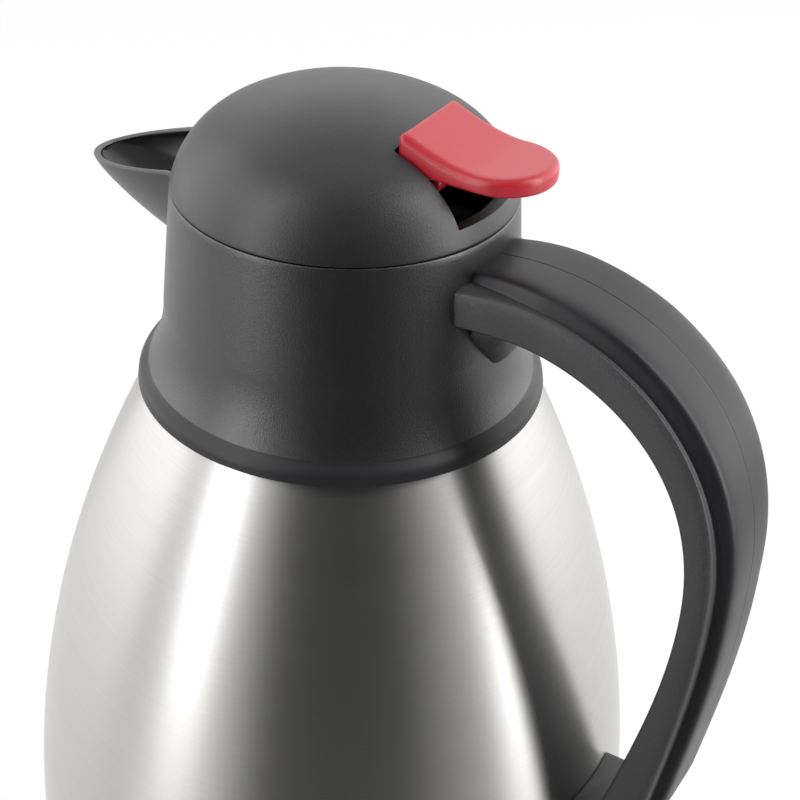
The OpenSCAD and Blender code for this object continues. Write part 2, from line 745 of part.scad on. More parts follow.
module valve_spring() {
    mean_r = 4.5;
    z0 = head_z + head_t + wire_d / 2;
    z1 = spring_seat - wire_d / 2;
    per_turn = 14;
    count = round(spring_turns * per_turn);
    color("silver") skin([for (k = [0:count]) let (a = 360 * k / per_turn, z = z0 + (z1 - z0) * k / count)
        [for (j = [0:7]) let (b = -45 * j, r = mean_r + wire_d / 2 * cos(b))
            [r * cos(a), r * sin(a), z + wire_d / 2 * sin(b)]]]);
}

outer_shell();
inner_flask();
base_plate();
base_pad();
getter();
collar();
neck_gasket();
handle();
collar_screw();
weld_bracket();
lower_screw();
screw_cover();
dome();
lid_base();
stopper_plug();
stopper_gasket();
stem_seal();
lever_pin();
lever();
valve_stem();
valve_seal();
valve_spring();
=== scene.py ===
"""Studio scene of the thermal carafe: finishes, visual pieces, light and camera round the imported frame."""
import bmesh
import bpy
import math
from mathutils import Matrix, Vector


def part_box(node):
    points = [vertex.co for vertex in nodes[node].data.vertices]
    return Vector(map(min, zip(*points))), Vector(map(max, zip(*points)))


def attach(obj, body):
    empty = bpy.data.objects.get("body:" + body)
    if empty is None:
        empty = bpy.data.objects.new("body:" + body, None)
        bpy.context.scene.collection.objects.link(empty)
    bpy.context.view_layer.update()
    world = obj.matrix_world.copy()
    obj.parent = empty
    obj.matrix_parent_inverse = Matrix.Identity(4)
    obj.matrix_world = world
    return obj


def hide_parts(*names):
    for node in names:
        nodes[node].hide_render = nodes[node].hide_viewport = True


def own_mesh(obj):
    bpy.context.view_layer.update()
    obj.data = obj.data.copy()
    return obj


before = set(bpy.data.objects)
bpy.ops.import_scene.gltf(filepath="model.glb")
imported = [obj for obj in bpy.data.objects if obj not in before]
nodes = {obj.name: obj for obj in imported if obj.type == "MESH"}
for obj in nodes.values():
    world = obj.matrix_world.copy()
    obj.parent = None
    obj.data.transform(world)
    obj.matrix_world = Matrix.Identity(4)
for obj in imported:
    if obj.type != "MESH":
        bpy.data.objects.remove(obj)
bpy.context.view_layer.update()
MM = 0.001


# ---------------------------------------------------------------- driving sizes, in mm, from the frame
def top_of(node):
    """Height of a solid's top."""
    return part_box(node)[1].z / MM


def foot_of(node):
    """Height of a solid's foot."""
    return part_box(node)[0].z / MM


def reach_of(node):
    """How far a solid reaches towards the handle's side."""
    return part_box(node)[1].x / MM


SEAM_R = 36.0            # level seam between dome and collar
SEAM_Z = top_of("collar")
SEAM_GAP = 0.22
BODY_R = reach_of("outer_shell")
BELLY_Z = 82.0           # widest place of the body, between two arcs
UPPER_ARC_R = 274.0
LOWER_ARC_R = 300.0
RIM_Z = foot_of("outer_shell")
SHELL_TOP_Z = top_of("outer_shell")
DOME_FOOT_Z = SEAM_Z + SEAM_GAP
DOME_TOP_Z = top_of("dome")
FLANGE_R = 44.1          # flange of the collar, on the steel
FLANGE_LIP = 1.7         # how far it stands out past the steel
FLANGE_EDGE = 0.6
FLARE_R = 30.7           # hollow flare above the flange
FLARE_Z = SEAM_Z - 26.0
GRIP_W = 26.0            # handle over its flanges
BACK_W = 22.4            # raised back at the root, and how much narrower it is below
BACK_TAPER = 2.6
PART_Y = 0.0             # parting line
LEVER_W = 21.4
LEVER_REACH = reach_of("lever")


def steel_r(z):
    """Outer radius of the steel body at height z."""
    arc = UPPER_ARC_R if z > BELLY_Z else LOWER_ARC_R
    return BODY_R - arc + math.sqrt(arc ** 2 - (z - BELLY_Z) ** 2)


def steel_z(r):
    """Height above the belly at which the steel has radius r."""
    return BELLY_Z + math.sqrt(UPPER_ARC_R ** 2 - (UPPER_ARC_R - BODY_R + r) ** 2)


FLANGE_Z = steel_z(FLANGE_R - FLANGE_LIP)


# ---------------------------------------------------------------- shader building blocks
class Shader:
    """A small hand for wiring nodes: every call makes one node and returns it."""

    def __init__(self, tree):
        self.tree = tree

    def node(self, kind, **inputs):
        n = self.tree.nodes.new(kind)
        for name, value in inputs.items():
            if hasattr(n, name):
                setattr(n, name, value)
        return n

    def link(self, source, target):
        self.tree.links.new(source, target)

    def math(self, operation, a, b=None, clamp=False):
        n = self.node("ShaderNodeMath", operation=operation, use_clamp=clamp)
        for socket, value in zip(n.inputs, (a, b)):
            self.feed(socket, value)
        return n.outputs[0]

    def feed(self, socket, value):
        """Sets a socket to a plain value, or joins it to another node's output."""
        if value is None:
            return
        if isinstance(value, (int, float, tuple)):
            socket.default_value = value
        else:
            self.link(value, socket)

    def noise(self, vector, scale, detail=2.0, roughness=0.5):
        n = self.node("ShaderNodeTexNoise")
        self.feed(n.inputs["Vector"], vector)
        self.feed(n.inputs["Scale"], scale)
        self.feed(n.inputs["Detail"], detail)
        self.feed(n.inputs["Roughness"], roughness)
        return n.outputs["Fac"]

    def spread(self, value, low, high, to_low=0.0, to_high=1.0):
        """Stretches a value between low and high to a new range, and clamps it."""
        n = self.node("ShaderNodeMapRange")
        ends = {"Value": value, "From Min": low, "From Max": high, "To Min": to_low, "To Max": to_high}
        for name, v in ends.items():
            self.feed(n.inputs[name], v)
        return n.outputs["Result"]

    def blend(self, factor, a, b):
        n = self.node("ShaderNodeMix", data_type="RGBA")
        self.feed(n.inputs[0], factor)
        self.feed(n.inputs[6], a)
        self.feed(n.inputs[7], b)
        return n.outputs[2]


def new_group(name, inputs, outputs):
    """An empty shader node group with named sockets, and the hand that wires it."""
    tree = bpy.data.node_groups.new(name, "ShaderNodeTree")
    for label, kind, value in inputs:
        s = tree.interface.new_socket(label, in_out="INPUT", socket_type=kind)
        if value is not None:
            s.default_value = value
    for label, kind in outputs:
        tree.interface.new_socket(label, in_out="OUTPUT", socket_type=kind)
    hand = Shader(tree)
    return tree, hand, hand.node("NodeGroupInput").outputs, hand.node("NodeGroupOutput").inputs


def moulded_grain_group():
    """Spark-eroded grain of moulded plastic: rounded bumps, finer pits, a slow unevenness, and a mask of the
    bumps' tops for painted glint specks.
    """
    tree, s, given, out = new_group(
        "moulded grain",
        [("Bumps per Metre", "NodeSocketFloat", 1900.0), ("Unevenness", "NodeSocketFloat", 0.5)],
        [("Height", "NodeSocketFloat"), ("Glint Specks", "NodeSocketFloat"), ("Cloud", "NodeSocketFloat")])
    place = s.node("ShaderNodeTexCoord").outputs["Object"]
    bumps = s.noise(place, given["Bumps per Metre"], 1.0, 0.5)
    pits = s.noise(place, s.math("MULTIPLY", given["Bumps per Metre"], 2.3), 1.0, 0.5)
    height = s.math("ADD", bumps, s.math("MULTIPLY", pits, 0.45))
    s.link(height, out["Height"])
    # Painted glints: the bumps' tops, which lighten the colour as if light sparkled on them.
    s.link(s.spread(height, 0.55, 0.9), out["Glint Specks"])
    cloud = s.spread(s.noise(place, 45.0, 4.0, 0.55), 0.3, 0.7)
    s.link(s.math("MULTIPLY", cloud, given["Unevenness"]), out["Cloud"])
    return tree


def brushed_line_group():
    """Brushing round the vertical axis: long fine lines, broad bands, and a faint ripple of the sheet."""
    tree, s, given, out = new_group(
        "brushed lines",
        [("Lines per Metre", "NodeSocketFloat", 3600.0), ("Length", "NodeSocketFloat", 1.0)],
        [("Lines", "NodeSocketFloat"), ("Bands", "NodeSocketFloat"), ("Ripple", "NodeSocketFloat")])
    place = s.node("ShaderNodeTexCoord").outputs["Object"]
    parts = s.node("ShaderNodeSeparateXYZ")
    s.link(place, parts.inputs[0])
    angle = s.math("ARCTAN2", parts.outputs["Y"], parts.outputs["X"])

    def streaks(along, across, seed):
        v = s.node("ShaderNodeCombineXYZ")
        s.link(s.math("MULTIPLY", s.math("SINE", angle), along), v.inputs["X"])
        s.link(s.math("MULTIPLY", s.math("COSINE", angle), along), v.inputs["Y"])
        s.link(s.math("ADD", s.math("MULTIPLY", parts.outputs["Z"], across), seed), v.inputs["Z"])
        return v.outputs[0]

    long = s.math("DIVIDE", 2.6, given["Length"])
    fine = s.noise(streaks(long, given["Lines per Metre"], 0.0), 1.0, 2.0, 0.6)
    wide = s.math("MULTIPLY", given["Lines per Metre"], 0.3)
    broad = s.noise(streaks(s.math("MULTIPLY", long, 0.6), wide, 3.0), 1.0, 2.0, 0.6)
    s.link(s.math("ADD", s.math("MULTIPLY", fine, 0.6), s.math("MULTIPLY", broad, 0.4)), out["Lines"])
    s.link(s.noise(streaks(0.5, 160.0, 7.0), 1.0, 2.0, 0.5), out["Bands"])
    s.link(s.noise(place, 620.0, 2.0, 0.5), out["Ripple"])
    return tree


def dust_group():
    """Faint specks and wipe marks that show on dark moulded faces."""
    tree, s, given, out = new_group(
        "dust and wipe marks",
        [("Specks", "NodeSocketFloat", 0.5), ("Wipes", "NodeSocketFloat", 0.5)],
        [("Mask", "NodeSocketFloat")])
    place = s.node("ShaderNodeTexCoord").outputs["Object"]
    speck = s.spread(s.noise(place, 1500.0, 1.0), 0.72, 0.78)
    wipe = s.spread(s.noise(place, 22.0, 5.0, 0.6), 0.55, 0.8)
    s.link(s.math("ADD", s.math("MULTIPLY", speck, given["Specks"]),
                  s.math("MULTIPLY", wipe, given["Wipes"]), clamp=True), out["Mask"])
    return tree


GRAIN = moulded_grain_group()
BRUSH = brushed_line_group()
DUST = dust_group()


def new_material(name):
    """A material with a Principled shader, and the hand that wires it."""
    m = bpy.data.materials.new(name)
    m.use_nodes = True
    m.node_tree.nodes.clear()
    s = Shader(m.node_tree)
    shader = s.node("ShaderNodeBsdfPrincipled")
    s.link(shader.outputs[0], s.node("ShaderNodeOutputMaterial").inputs["Surface"])
    return m, s, shader


def use_group(s, tree, **values):
    """Places a node group in a material; a value's name has _ for each space of the socket's name."""
    n = s.node("ShaderNodeGroup")
    n.node_tree = tree
    for name, value in values.items():
        s.feed(n.inputs[name.replace("_", " ")], value)
    return n


GRAIN_PER_METRE = 3000.0
PALE_DUST = (0.25, 0.25, 0.25, 1.0)


def opaque(colour, share=1.0, lift=0.0):
    """The colour times a share plus a lift, with full alpha."""
    return tuple(min(c * share + lift, 1.0) for c in colour[:3]) + (1.0,)


def moulded_plastic(name, colour, lift, roughness, depth=0.00004, tone=0.5, bevel=0.0, gleam=0.5):
    """Textured moulded plastic: grain in the bump, clouds in colour and roughness, and painted glints: light
    specks on the grain's tops, in the colour.

    Its clouds pass from colour to lift; tone sets how strong the painted glint specks are, depth is the
    grain's, and bevel rounds hard edges."""
    m, s, shader = new_material(name)
    grain = use_group(s, GRAIN, Bumps_per_Metre=GRAIN_PER_METRE, Unevenness=1.0)
    dust = use_group(s, DUST, Specks=0.35, Wipes=0.25)
    base = s.blend(grain.outputs["Cloud"], colour, lift)
    # Painted glints: the grain's tops are lifted towards a lighter colour, as strongly as tone says.
    glint_specked = s.blend(s.math("MULTIPLY", grain.outputs["Glint Specks"], tone), base, opaque(colour, 1.9, 0.004))
    dusty = s.blend(s.math("MULTIPLY", dust.outputs["Mask"], 0.02), glint_specked, PALE_DUST)
    s.link(dusty, shader.inputs["Base Color"])
    rough = s.math("ADD", s.spread(grain.outputs["Cloud"], 0.0, 1.0, roughness - 0.02, roughness + 0.03),
                   s.math("MULTIPLY", dust.outputs["Mask"], 0.05))
    s.link(rough, shader.inputs["Roughness"])
    shader.inputs["Specular IOR Level"].default_value = gleam
    bump = s.node("ShaderNodeBump")
    bump.inputs["Strength"].default_value = 1.0
    bump.inputs["Distance"].default_value = depth
    s.link(grain.outputs["Height"], bump.inputs["Height"])
    if bevel:
        edge = s.node("ShaderNodeBevel")
        edge.samples = 6
        edge.inputs["Radius"].default_value = bevel
        s.link(edge.outputs[0], bump.inputs["Normal"])
    s.link(bump.outputs[0], shader.inputs["Normal"])
    return m


def brushed_steel(name, colour, dark, roughness):
    """Stainless steel brushed round the axis: it draws reflections out up and down."""
    m, s, shader = new_material(name)
    lines = use_group(s, BRUSH)
    shader.inputs["Metallic"].default_value = 1.0
    s.link(s.blend(s.spread(lines.outputs["Lines"], 0.35, 0.65), colour, dark), shader.inputs["Base Color"])
    rough = s.math("ADD", s.spread(lines.outputs["Lines"], 0.3, 0.7, roughness - 0.02, roughness + 0.02),
                   s.spread(lines.outputs["Bands"], 0.3, 0.7, -0.006, 0.006))
    s.link(rough, shader.inputs["Roughness"])
    shader.inputs["Anisotropic"].default_value = 0.8
    shader.inputs["Anisotropic Rotation"].default_value = 0.25
    tangent = s.node("ShaderNodeTangent", direction_type="RADIAL", axis="Z")
    s.link(tangent.outputs[0], shader.inputs["Tangent"])
    ripple = s.node("ShaderNodeBump")
    ripple.inputs["Distance"].default_value = 0.000006
    s.link(lines.outputs["Ripple"], ripple.inputs["Height"])
    bump = s.node("ShaderNodeBump")
    bump.inputs["Distance"].default_value = 0.00001
    s.link(lines.outputs["Lines"], bump.inputs["Height"])
    s.link(ripple.outputs[0], bump.inputs["Normal"])
    s.link(bump.outputs[0], shader.inputs["Normal"])
    return m


def turned_metal(name, colour, roughness):
    """Small drawn or turned steel parts, with faint marks."""
    m, s, shader = new_material(name)
    lines = use_group(s, BRUSH, Lines_per_Metre=9000.0, Length=0.4)
    dust = use_group(s, DUST, Specks=0.5, Wipes=0.6)
    shader.inputs["Metallic"].default_value = 1.0
    tone = s.blend(s.spread(lines.outputs["Lines"], 0.3, 0.7, 0.0, 0.35), colour, opaque(colour, 0.7))
    s.link(tone, shader.inputs["Base Color"])
    s.link(s.math("ADD", s.spread(lines.outputs["Bands"], 0.3, 0.7, roughness - 0.05, roughness + 0.05),
                  s.math("MULTIPLY", dust.outputs["Mask"], 0.12)), shader.inputs["Roughness"])
    bump = s.node("ShaderNodeBump")
    bump.inputs["Strength"].default_value = 0.3
    bump.inputs["Distance"].default_value = 0.00001
    s.link(lines.outputs["Lines"], bump.inputs["Height"])
    s.link(bump.outputs[0], shader.inputs["Normal"])
    return m


def soft_rubber(name, colour, lift, roughness):
    """Moulded rubber or silicone: a fine dull bloom."""
    m, s, shader = new_material(name)
    grain = use_group(s, GRAIN, Bumps_per_Metre=1500.0, Unevenness=1.0)
    dust = use_group(s, DUST, Specks=0.6, Wipes=0.7)
    base = s.blend(grain.outputs["Cloud"], colour, lift)
    dusty = s.blend(s.math("MULTIPLY", dust.outputs["Mask"], 0.12), base, (0.5, 0.5, 0.48, 1.0))
    s.link(dusty, shader.inputs["Base Color"])
    rough = s.spread(grain.outputs["Height"], 0.5, 1.1, roughness - 0.06, roughness + 0.06)
    s.link(rough, shader.inputs["Roughness"])
    bump = s.node("ShaderNodeBump")
    bump.inputs["Strength"].default_value = 0.6
    bump.inputs["Distance"].default_value = 0.00002
    s.link(grain.outputs["Height"], bump.inputs["Height"])
    s.link(bump.outputs[0], shader.inputs["Normal"])
    return m


STEEL = brushed_steel("brushed stainless", (0.455, 0.45, 0.44, 1), (0.425, 0.42, 0.41, 1), 0.38)
INNER_STEEL = turned_metal("drawn stainless", (0.55, 0.54, 0.53, 1), 0.3)
SCREW_STEEL = turned_metal("bright stainless", (0.68, 0.67, 0.65, 1), 0.2)
COLLAR_BLACK = moulded_plastic(
    "collar black", (0.0045, 0.0045, 0.0052, 1), (0.0055, 0.0055, 0.0063, 1), 0.36, gleam=0.8)
SPOUT_GLOSS = moulded_plastic(
    "spout gloss black", (0.008, 0.008, 0.009, 1), (0.010, 0.010, 0.011, 1), 0.22,
    depth=0.000002, tone=0.0, gleam=0.2)
DOME_BLACK = moulded_plastic(
    "dome black", (0.005, 0.005, 0.0058, 1), (0.006, 0.006, 0.0069, 1), 0.42, depth=0.00003, gleam=0.55)
HANDLE_BLACK = moulded_plastic("handle black", (0.026, 0.026, 0.028, 1), (0.031, 0.031, 0.033, 1), 0.5)
FOOT_BLACK = moulded_plastic(
    "handle foot black", (0.016, 0.016, 0.017, 1), (0.020, 0.020, 0.021, 1), 0.45, bevel=0.0006)
HANDLE_SATIN = moulded_plastic(
    "handle satin black", (0.011, 0.011, 0.0128, 1), (0.013, 0.013, 0.015, 1), 0.4,
    depth=0.000005, tone=0.05, gleam=0.3)
INNER_BLACK = moulded_plastic("stopper black", (0.010, 0.010, 0.010, 1), (0.014, 0.014, 0.014, 1), 0.5)
LEVER_RED = moulded_plastic(
    "lever red", (0.37, 0.009, 0.02, 1), (0.41, 0.014, 0.028, 1), 0.36, depth=0.00002, tone=0.04)
VALVE_WHITE = moulded_plastic("valve white", (0.72, 0.72, 0.69, 1), (0.78, 0.78, 0.75, 1), 0.4, tone=0.0)
PAD_RUBBER = soft_rubber("pad rubber", (0.02, 0.02, 0.02, 1), (0.032, 0.032, 0.032, 1), 0.7)
SEAL_RUBBER = soft_rubber("seal silicone", (0.62, 0.62, 0.6, 1), (0.7, 0.7, 0.68, 1), 0.5)

FINISHES = {
    "outer_shell": STEEL, "inner_flask": INNER_STEEL, "base_plate": INNER_STEEL, "base_pad": PAD_RUBBER,
    "getter": INNER_STEEL, "collar": COLLAR_BLACK, "neck_gasket": SEAL_RUBBER, "handle": HANDLE_BLACK,
    "collar_screw": SCREW_STEEL, "weld_bracket": INNER_STEEL, "lower_screw": SCREW_STEEL,
    "screw_cover": HANDLE_BLACK, "dome": DOME_BLACK, "lid_base": INNER_BLACK, "stopper_plug": INNER_BLACK,
    "stopper_gasket": SEAL_RUBBER, "stem_seal": SEAL_RUBBER, "lever_pin": SCREW_STEEL, "lever": LEVER_RED,
    "valve_stem": VALVE_WHITE, "valve_seal": SEAL_RUBBER, "valve_spring": SCREW_STEEL}

for name, finish in FINISHES.items():
    nodes[name].data.materials.clear()
    nodes[name].data.materials.append(finish)


# ---------------------------------------------------------------- mesh building blocks
def fillet(corners, steps=6):
    """Rounds the corners of a closed outline: each corner is (a, b, radius) and gives steps + 1 points."""
    outline = []
    count = len(corners)
    for i, (a, b, radius) in enumerate(corners):
        here = Vector((a, b))
        back = Vector(corners[i - 1][:2]) - here
        on = Vector(corners[(i + 1) % count][:2]) - here
        half = back.angle(on) / 2
        cut = min(radius / max(math.tan(half), 1e-6), back.length * 0.49, on.length * 0.49)
        start = here + back.normalized() * cut
        end = here + on.normalized() * cut
        for k in range(steps + 1):
            t = k / steps
            outline.append(tuple((1 - t) ** 2 * start + 2 * t * (1 - t) * here + t ** 2 * end))
    return outline


def ring_faces(rings, points, closed_rows=False):
    """Quads between rings of equally many points."""
    faces = []
    for k in range(rings if closed_rows else rings - 1):
        for i in range(points):
            j = (i + 1) % points
            low, high = k * points, ((k + 1) % rings) * points
            faces.append((low + i, low + j, high + j, high + i))
    return faces


SHARP_EDGE = math.radians(40.0)


def mesh_in_mm(name, points, faces):
    """A mesh from points in mm."""
    mesh = bpy.data.meshes.new(name)
    mesh.from_pydata([tuple(c * MM for c in p) for p in points], [], faces)
    return mesh


def face_outward(mesh, join=None):
    """Turns all faces outward; points closer together than join become one."""
    made = bmesh.new()
    made.from_mesh(mesh)
    if join:
        bmesh.ops.remove_doubles(made, verts=made.verts, dist=join)
    bmesh.ops.recalc_face_normals(made, faces=made.faces)
    made.to_mesh(mesh)
    made.free()


def smooth_faces(mesh):
    """Smooth shading that leaves sharp edges sharp."""
    mesh.shade_smooth()
    mesh.set_sharp_from_angle(angle=SHARP_EDGE)


def new_piece(name, points, faces, finish, body, slot, replaced=(), second=None, is_second=None):
    """A piece in mesh code from points in mm, which rides on a body and stands for CAD nodes.

    Faces whose number passes is_second take the second finish."""
    mesh = mesh_in_mm(name, points, faces)
    if second:
        for number, face in enumerate(mesh.polygons):
            face.material_index = 1 if is_second(number) else 0
    mesh.validate()
    mesh.update()
    face_outward(mesh, join=1e-7)
    smooth_faces(mesh)
    for used in (finish, second) if second else (finish,):
        mesh.materials.append(used)
    piece = bpy.data.objects.new(name, mesh)
    bpy.context.scene.collection.objects.link(piece)
    if replaced:
        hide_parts(*replaced)
    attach(piece, body)
    return piece


def turned(profile, steps=256):
    """Points and faces of a closed profile of (radius, height) turned about the vertical axis."""
    points = []
    for k in range(steps):
        a = 2 * math.pi * k / steps
        points += [(r * math.cos(a), r * math.sin(a), z) for r, z in profile]
    return points, ring_faces(steps, len(profile), closed_rows=True)


def lofted(rings, capped=True):
    """Points and faces of a skin over closed rings, with a flat cap at each end."""
    points = [p for ring in rings for p in ring]
    n = len(rings[0])
    faces = ring_faces(len(rings), n)
    if not capped:
        return points, faces
    faces.append(tuple(range(n)))
    faces.append(tuple(range(len(points) - n, len(points))))
    return points, faces


def cut_with(piece, cutter_points, cutter_faces):
    """Cuts a closed solid out of a piece, and leaves the result in its mesh."""
    mesh = mesh_in_mm("cutter", cutter_points, cutter_faces)
    face_outward(mesh)
    cutter = bpy.data.objects.new("cutter", mesh)
    bpy.context.scene.collection.objects.link(cutter)
    cut = piece.modifiers.new("cut", "BOOLEAN")
    cut.operation = "DIFFERENCE"
    cut.solver = "EXACT"
    cut.object = cutter
    result = bpy.data.meshes.new_from_object(piece.evaluated_get(bpy.context.evaluated_depsgraph_get()))
    piece.modifiers.clear()
    old = piece.data
    piece.data = result
    smooth_faces(result)
    bpy.data.objects.remove(cutter)
    bpy.data.meshes.remove(old)
    return piece


def block(low, high):
    """Points and faces of a box between two corners, as a cutter."""
    points = [(x, y, z) for x in (low[0], high[0]) for y in (low[1], high[1]) for z in (low[2], high[2])]
    return points, [(0, 1, 3, 2), (4, 6, 7, 5), (0, 4, 5, 1), (2, 3, 7, 6), (0, 2, 6, 4), (1, 5, 7, 3)]


def bezier(line, t):
    """Place at share t of a line given by its two ends and the two points that pull it."""
    a, b, c, d = (Vector(p) for p in line)
    return (1 - t) ** 3 * a + 3 * (1 - t) ** 2 * t * b + 3 * (1 - t) * t ** 2 * c + t ** 3 * d


def bezier_slope(line, t):
    """Direction of that line at share t."""
    a, b, c, d = (Vector(p) for p in line)
    return ((1 - t) ** 2 * (b - a) + 2 * (1 - t) * t * (c - b) + t ** 2 * (d - c)).normalized()


def clamp(v, low=0.0, high=1.0):
    return min(max(v, low), high)


def ease(t):
    """0 to 1 with a soft start and end."""
    return t * t * (3 - 2 * t)


def span(low, high, steps):
    """Evenly spaced values from low to high, both included."""
    return [low + (high - low) * k / steps for k in range(steps + 1)]


# ---------------------------------------------------------------- steel body
STEEL_WALL = 1.0
SHELL_EASE = 0.03        # keeps the fine wall inside the solid's faceted one
STEEL_SHOULDER_Z = SHELL_TOP_Z - 11.0
NECK_R = 31.5


def steel_wall():
    """The outer wall: an open shell with a turned-in rim below and a short neck inside the collar."""
    outer = [(steel_r(z) - SHELL_EASE, z) for z in span(RIM_Z + 0.4, STEEL_SHOULDER_Z - 0.6, 150)]
    inner = [(r - STEEL_WALL, z) for r, z in reversed(outer) if z < STEEL_SHOULDER_Z - 2.5]
    top, under = STEEL_SHOULDER_Z, STEEL_SHOULDER_Z - STEEL_WALL
    neck = [(steel_r(top) - 0.7, top), (NECK_R, top), (NECK_R, SHELL_TOP_Z),
            (NECK_R - STEEL_WALL, SHELL_TOP_Z), (NECK_R - STEEL_WALL, under), (steel_r(top) - 1.8, under)]
    profile = [(steel_r(RIM_Z) - 0.35, RIM_Z)] + outer + neck + inner + [(steel_r(RIM_Z) - STEEL_WALL, RIM_Z)]
    points, faces = turned(profile, 288)
    return new_piece("steel_wall", points, faces, STEEL, "vessel", "brushed_steel", ["outer_shell"])


# ---------------------------------------------------------------- collar and spout
COLLAR_WALL = 2.3
BORE_R = SEAM_R - COLLAR_WALL
FLOOR_Z = SEAM_Z - 18.5
THROAT_R = 25.0
BAND_H = 4.4             # smooth band of the flange, and how much of it is upright
BAND_FLAT = 1.2
BAND_FOOT = 0.34
CONTACT_GAP = 0.25       # between the collar and the steel
SPOUT_REACH = -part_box("collar")[0].x / MM
SPOUT_HALF_W = 14.3
SPOUT_WALL = 1.6
SPOUT_NARROW = (SPOUT_HALF_W - SPOUT_WALL) / SPOUT_HALF_W
SPOUT_LEN = SPOUT_REACH - SEAM_R
SPOUT_SILL_Z = FLOOR_Z + 2.5
RIM_DROP = 2.0           # of the spout's rim under the seam, and its further fall to the tip
RIM_FALL = 6.9
KEEL_DROP = 27.0         # of its keel under the seam, and its rise to the tip
KEEL_RISE = 16.2
TIP_HALF_W = 0.05
KEEL_SHARP = 1.5         # 1 is round, more is a sharper V
CHANNEL_SHARP = 1.05
ARC_STEPS = 40
FLARE_RISE = FLARE_Z - FLANGE_Z - FLANGE_EDGE
WAIST_R = FLANGE_R - FLARE_R + math.sqrt(FLARE_R ** 2 - FLARE_RISE ** 2)      # where the flare ends


def collar_r(z):
    """Outer radius of the collar at height z."""
    if z >= FLARE_Z:
        return WAIST_R + (SEAM_R - WAIST_R) * (z - FLARE_Z) / (SEAM_Z - FLARE_Z)
    return WAIST_R + FLARE_R - math.sqrt(max(FLARE_R ** 2 - (z - FLARE_Z) ** 2, 0.0))


def spout_half_width(s):
    """Half the spout's width at share s of its length."""
    return SPOUT_HALF_W * max(1 - s ** 1.82, 0.0) ** 0.516


def spout_rim(s):
    """Height of its rim."""
    return SEAM_Z - RIM_DROP - RIM_FALL * s


def spout_keel(s):
    """Height of its keel, which curves up towards the tip."""
    return SEAM_Z - KEEL_DROP + KEEL_RISE * (0.5 * s + 0.5 * s ** 2.2)


def spout_bed(s):
    """Height of the channel's bed."""
    return min(SPOUT_SILL_Z + (spout_keel(1) + SPOUT_WALL - SPOUT_SILL_Z) * s * s, spout_rim(s) - 0.8)


def keel_arc(x, half, rim, low, power):
    """The rounded V of the spout from one rim to the other, below the rim."""
    arc = []
    for k in range(1, ARC_STEPS):
        a = math.pi * k / ARC_STEPS
        c = math.cos(a)
        arc.append((-x, math.copysign(abs(c) ** power, c) * half, rim - (rim - low) * math.sin(a) ** power))
    return arc


def spout_stations(count):
    """Shares of the spout's length for its rings, closer together at the tip."""
    return [1 - (1 - k / count) ** 1.8 for k in range(count + 1)]


def spout_ring(s, inside):
    """One ring of the spout: outer keel, a rounded lip, and the channel back to the start."""
    x_out = SEAM_R + SPOUT_LEN * s + inside
    x_in = SEAM_R + (SPOUT_LEN - SPOUT_WALL) * s + inside
    w_out = max(spout_half_width(s), TIP_HALF_W)
    w_in = w_out * SPOUT_NARROW
    wall = min(w_out - w_in, SPOUT_WALL)
    rim = spout_rim(s)
    soft = 0.28 * wall
    outer = keel_arc(x_out, w_out, rim - soft, spout_keel(s), KEEL_SHARP)
    inner = keel_arc(x_in, w_in, rim - soft, spout_bed(s), CHANNEL_SHARP)
    rounding = [(0.0, soft), (0.3 * soft, 0.3 * soft), (soft, 0.0)]
    lip = [(-x_out, -w_out + aside, rim - drop) for aside, drop in rounding]
    lip += [(-x_in, -w_in - aside, rim - drop) for aside, drop in reversed(rounding)]
    other = [(x, -y, z) for x, y, z in reversed(lip)]
    return other[3:] + outer + lip + list(reversed(inner)) + other[:3]


def spout():
    """The open spout, glossy inside its channel; its first two rings lie in the collar's wall."""
    rings = [spout_ring(0.0, -2.6), spout_ring(0.0, -1.2)] + [spout_ring(s, 0.0) for s in spout_stations(56)]
    points, faces = lofted(rings)
    points = [push_out(p, lambda z: BORE_R + 0.9) for p in points]
    half_lip, whole_lip = 3, 6
    first = half_lip + (ARC_STEPS - 1) + whole_lip - 1
    return new_piece("spout", points, faces, COLLAR_BLACK, "vessel", "black_plastic",
                     second=SPOUT_GLOSS, is_second=lambda k: first <= k % len(rings[0]) < first + ARC_STEPS)


def push_out(p, radius_at):
    """Moves a point out to a surface of revolution where it lies inside it."""
    x, y, z = p
    r = radius_at(z)
    if x * x + y * y >= r * r or abs(y) >= r:
        return p
    return (math.copysign(math.sqrt(r * r - y * y), x), y, z)


def channel_cutter():
    """The space of the spout's channel, through the collar's wall."""
    rings = []
    for s, inside in [(0.0, -9.0), (0.0, 0.0), (0.08, 0.0), (0.2, 0.0)]:
        x = SEAM_R + (SPOUT_LEN - SPOUT_WALL) * s + inside
        w = spout_half_width(s) * SPOUT_NARROW
        arc = keel_arc(x, w, spout_rim(s), spout_bed(s), CHANNEL_SHARP)
        rings.append([(-x, -w, SEAM_Z + 3), (-x, w, SEAM_Z + 3)] + arc)
    return lofted(rings)


def steel_contact_r(z):
    """Radius of the collar's seat, just off the steel."""
    return steel_r(z) + CONTACT_GAP


def flange_band():
    """The flange from its foot up: upright first, then passing softly into the flare."""
    top_z = FLANGE_Z + BAND_H
    band = []
    for z in span(FLANGE_Z + BAND_FOOT, top_z, 18)[1:]:
        share = ease(clamp((z - FLANGE_Z - BAND_FLAT) / (top_z - FLANGE_Z - BAND_FLAT)))
        band.append(((FLANGE_R - 0.1 * (z - FLANGE_Z)) * (1 - share) + collar_r(z) * share, z))
    return band


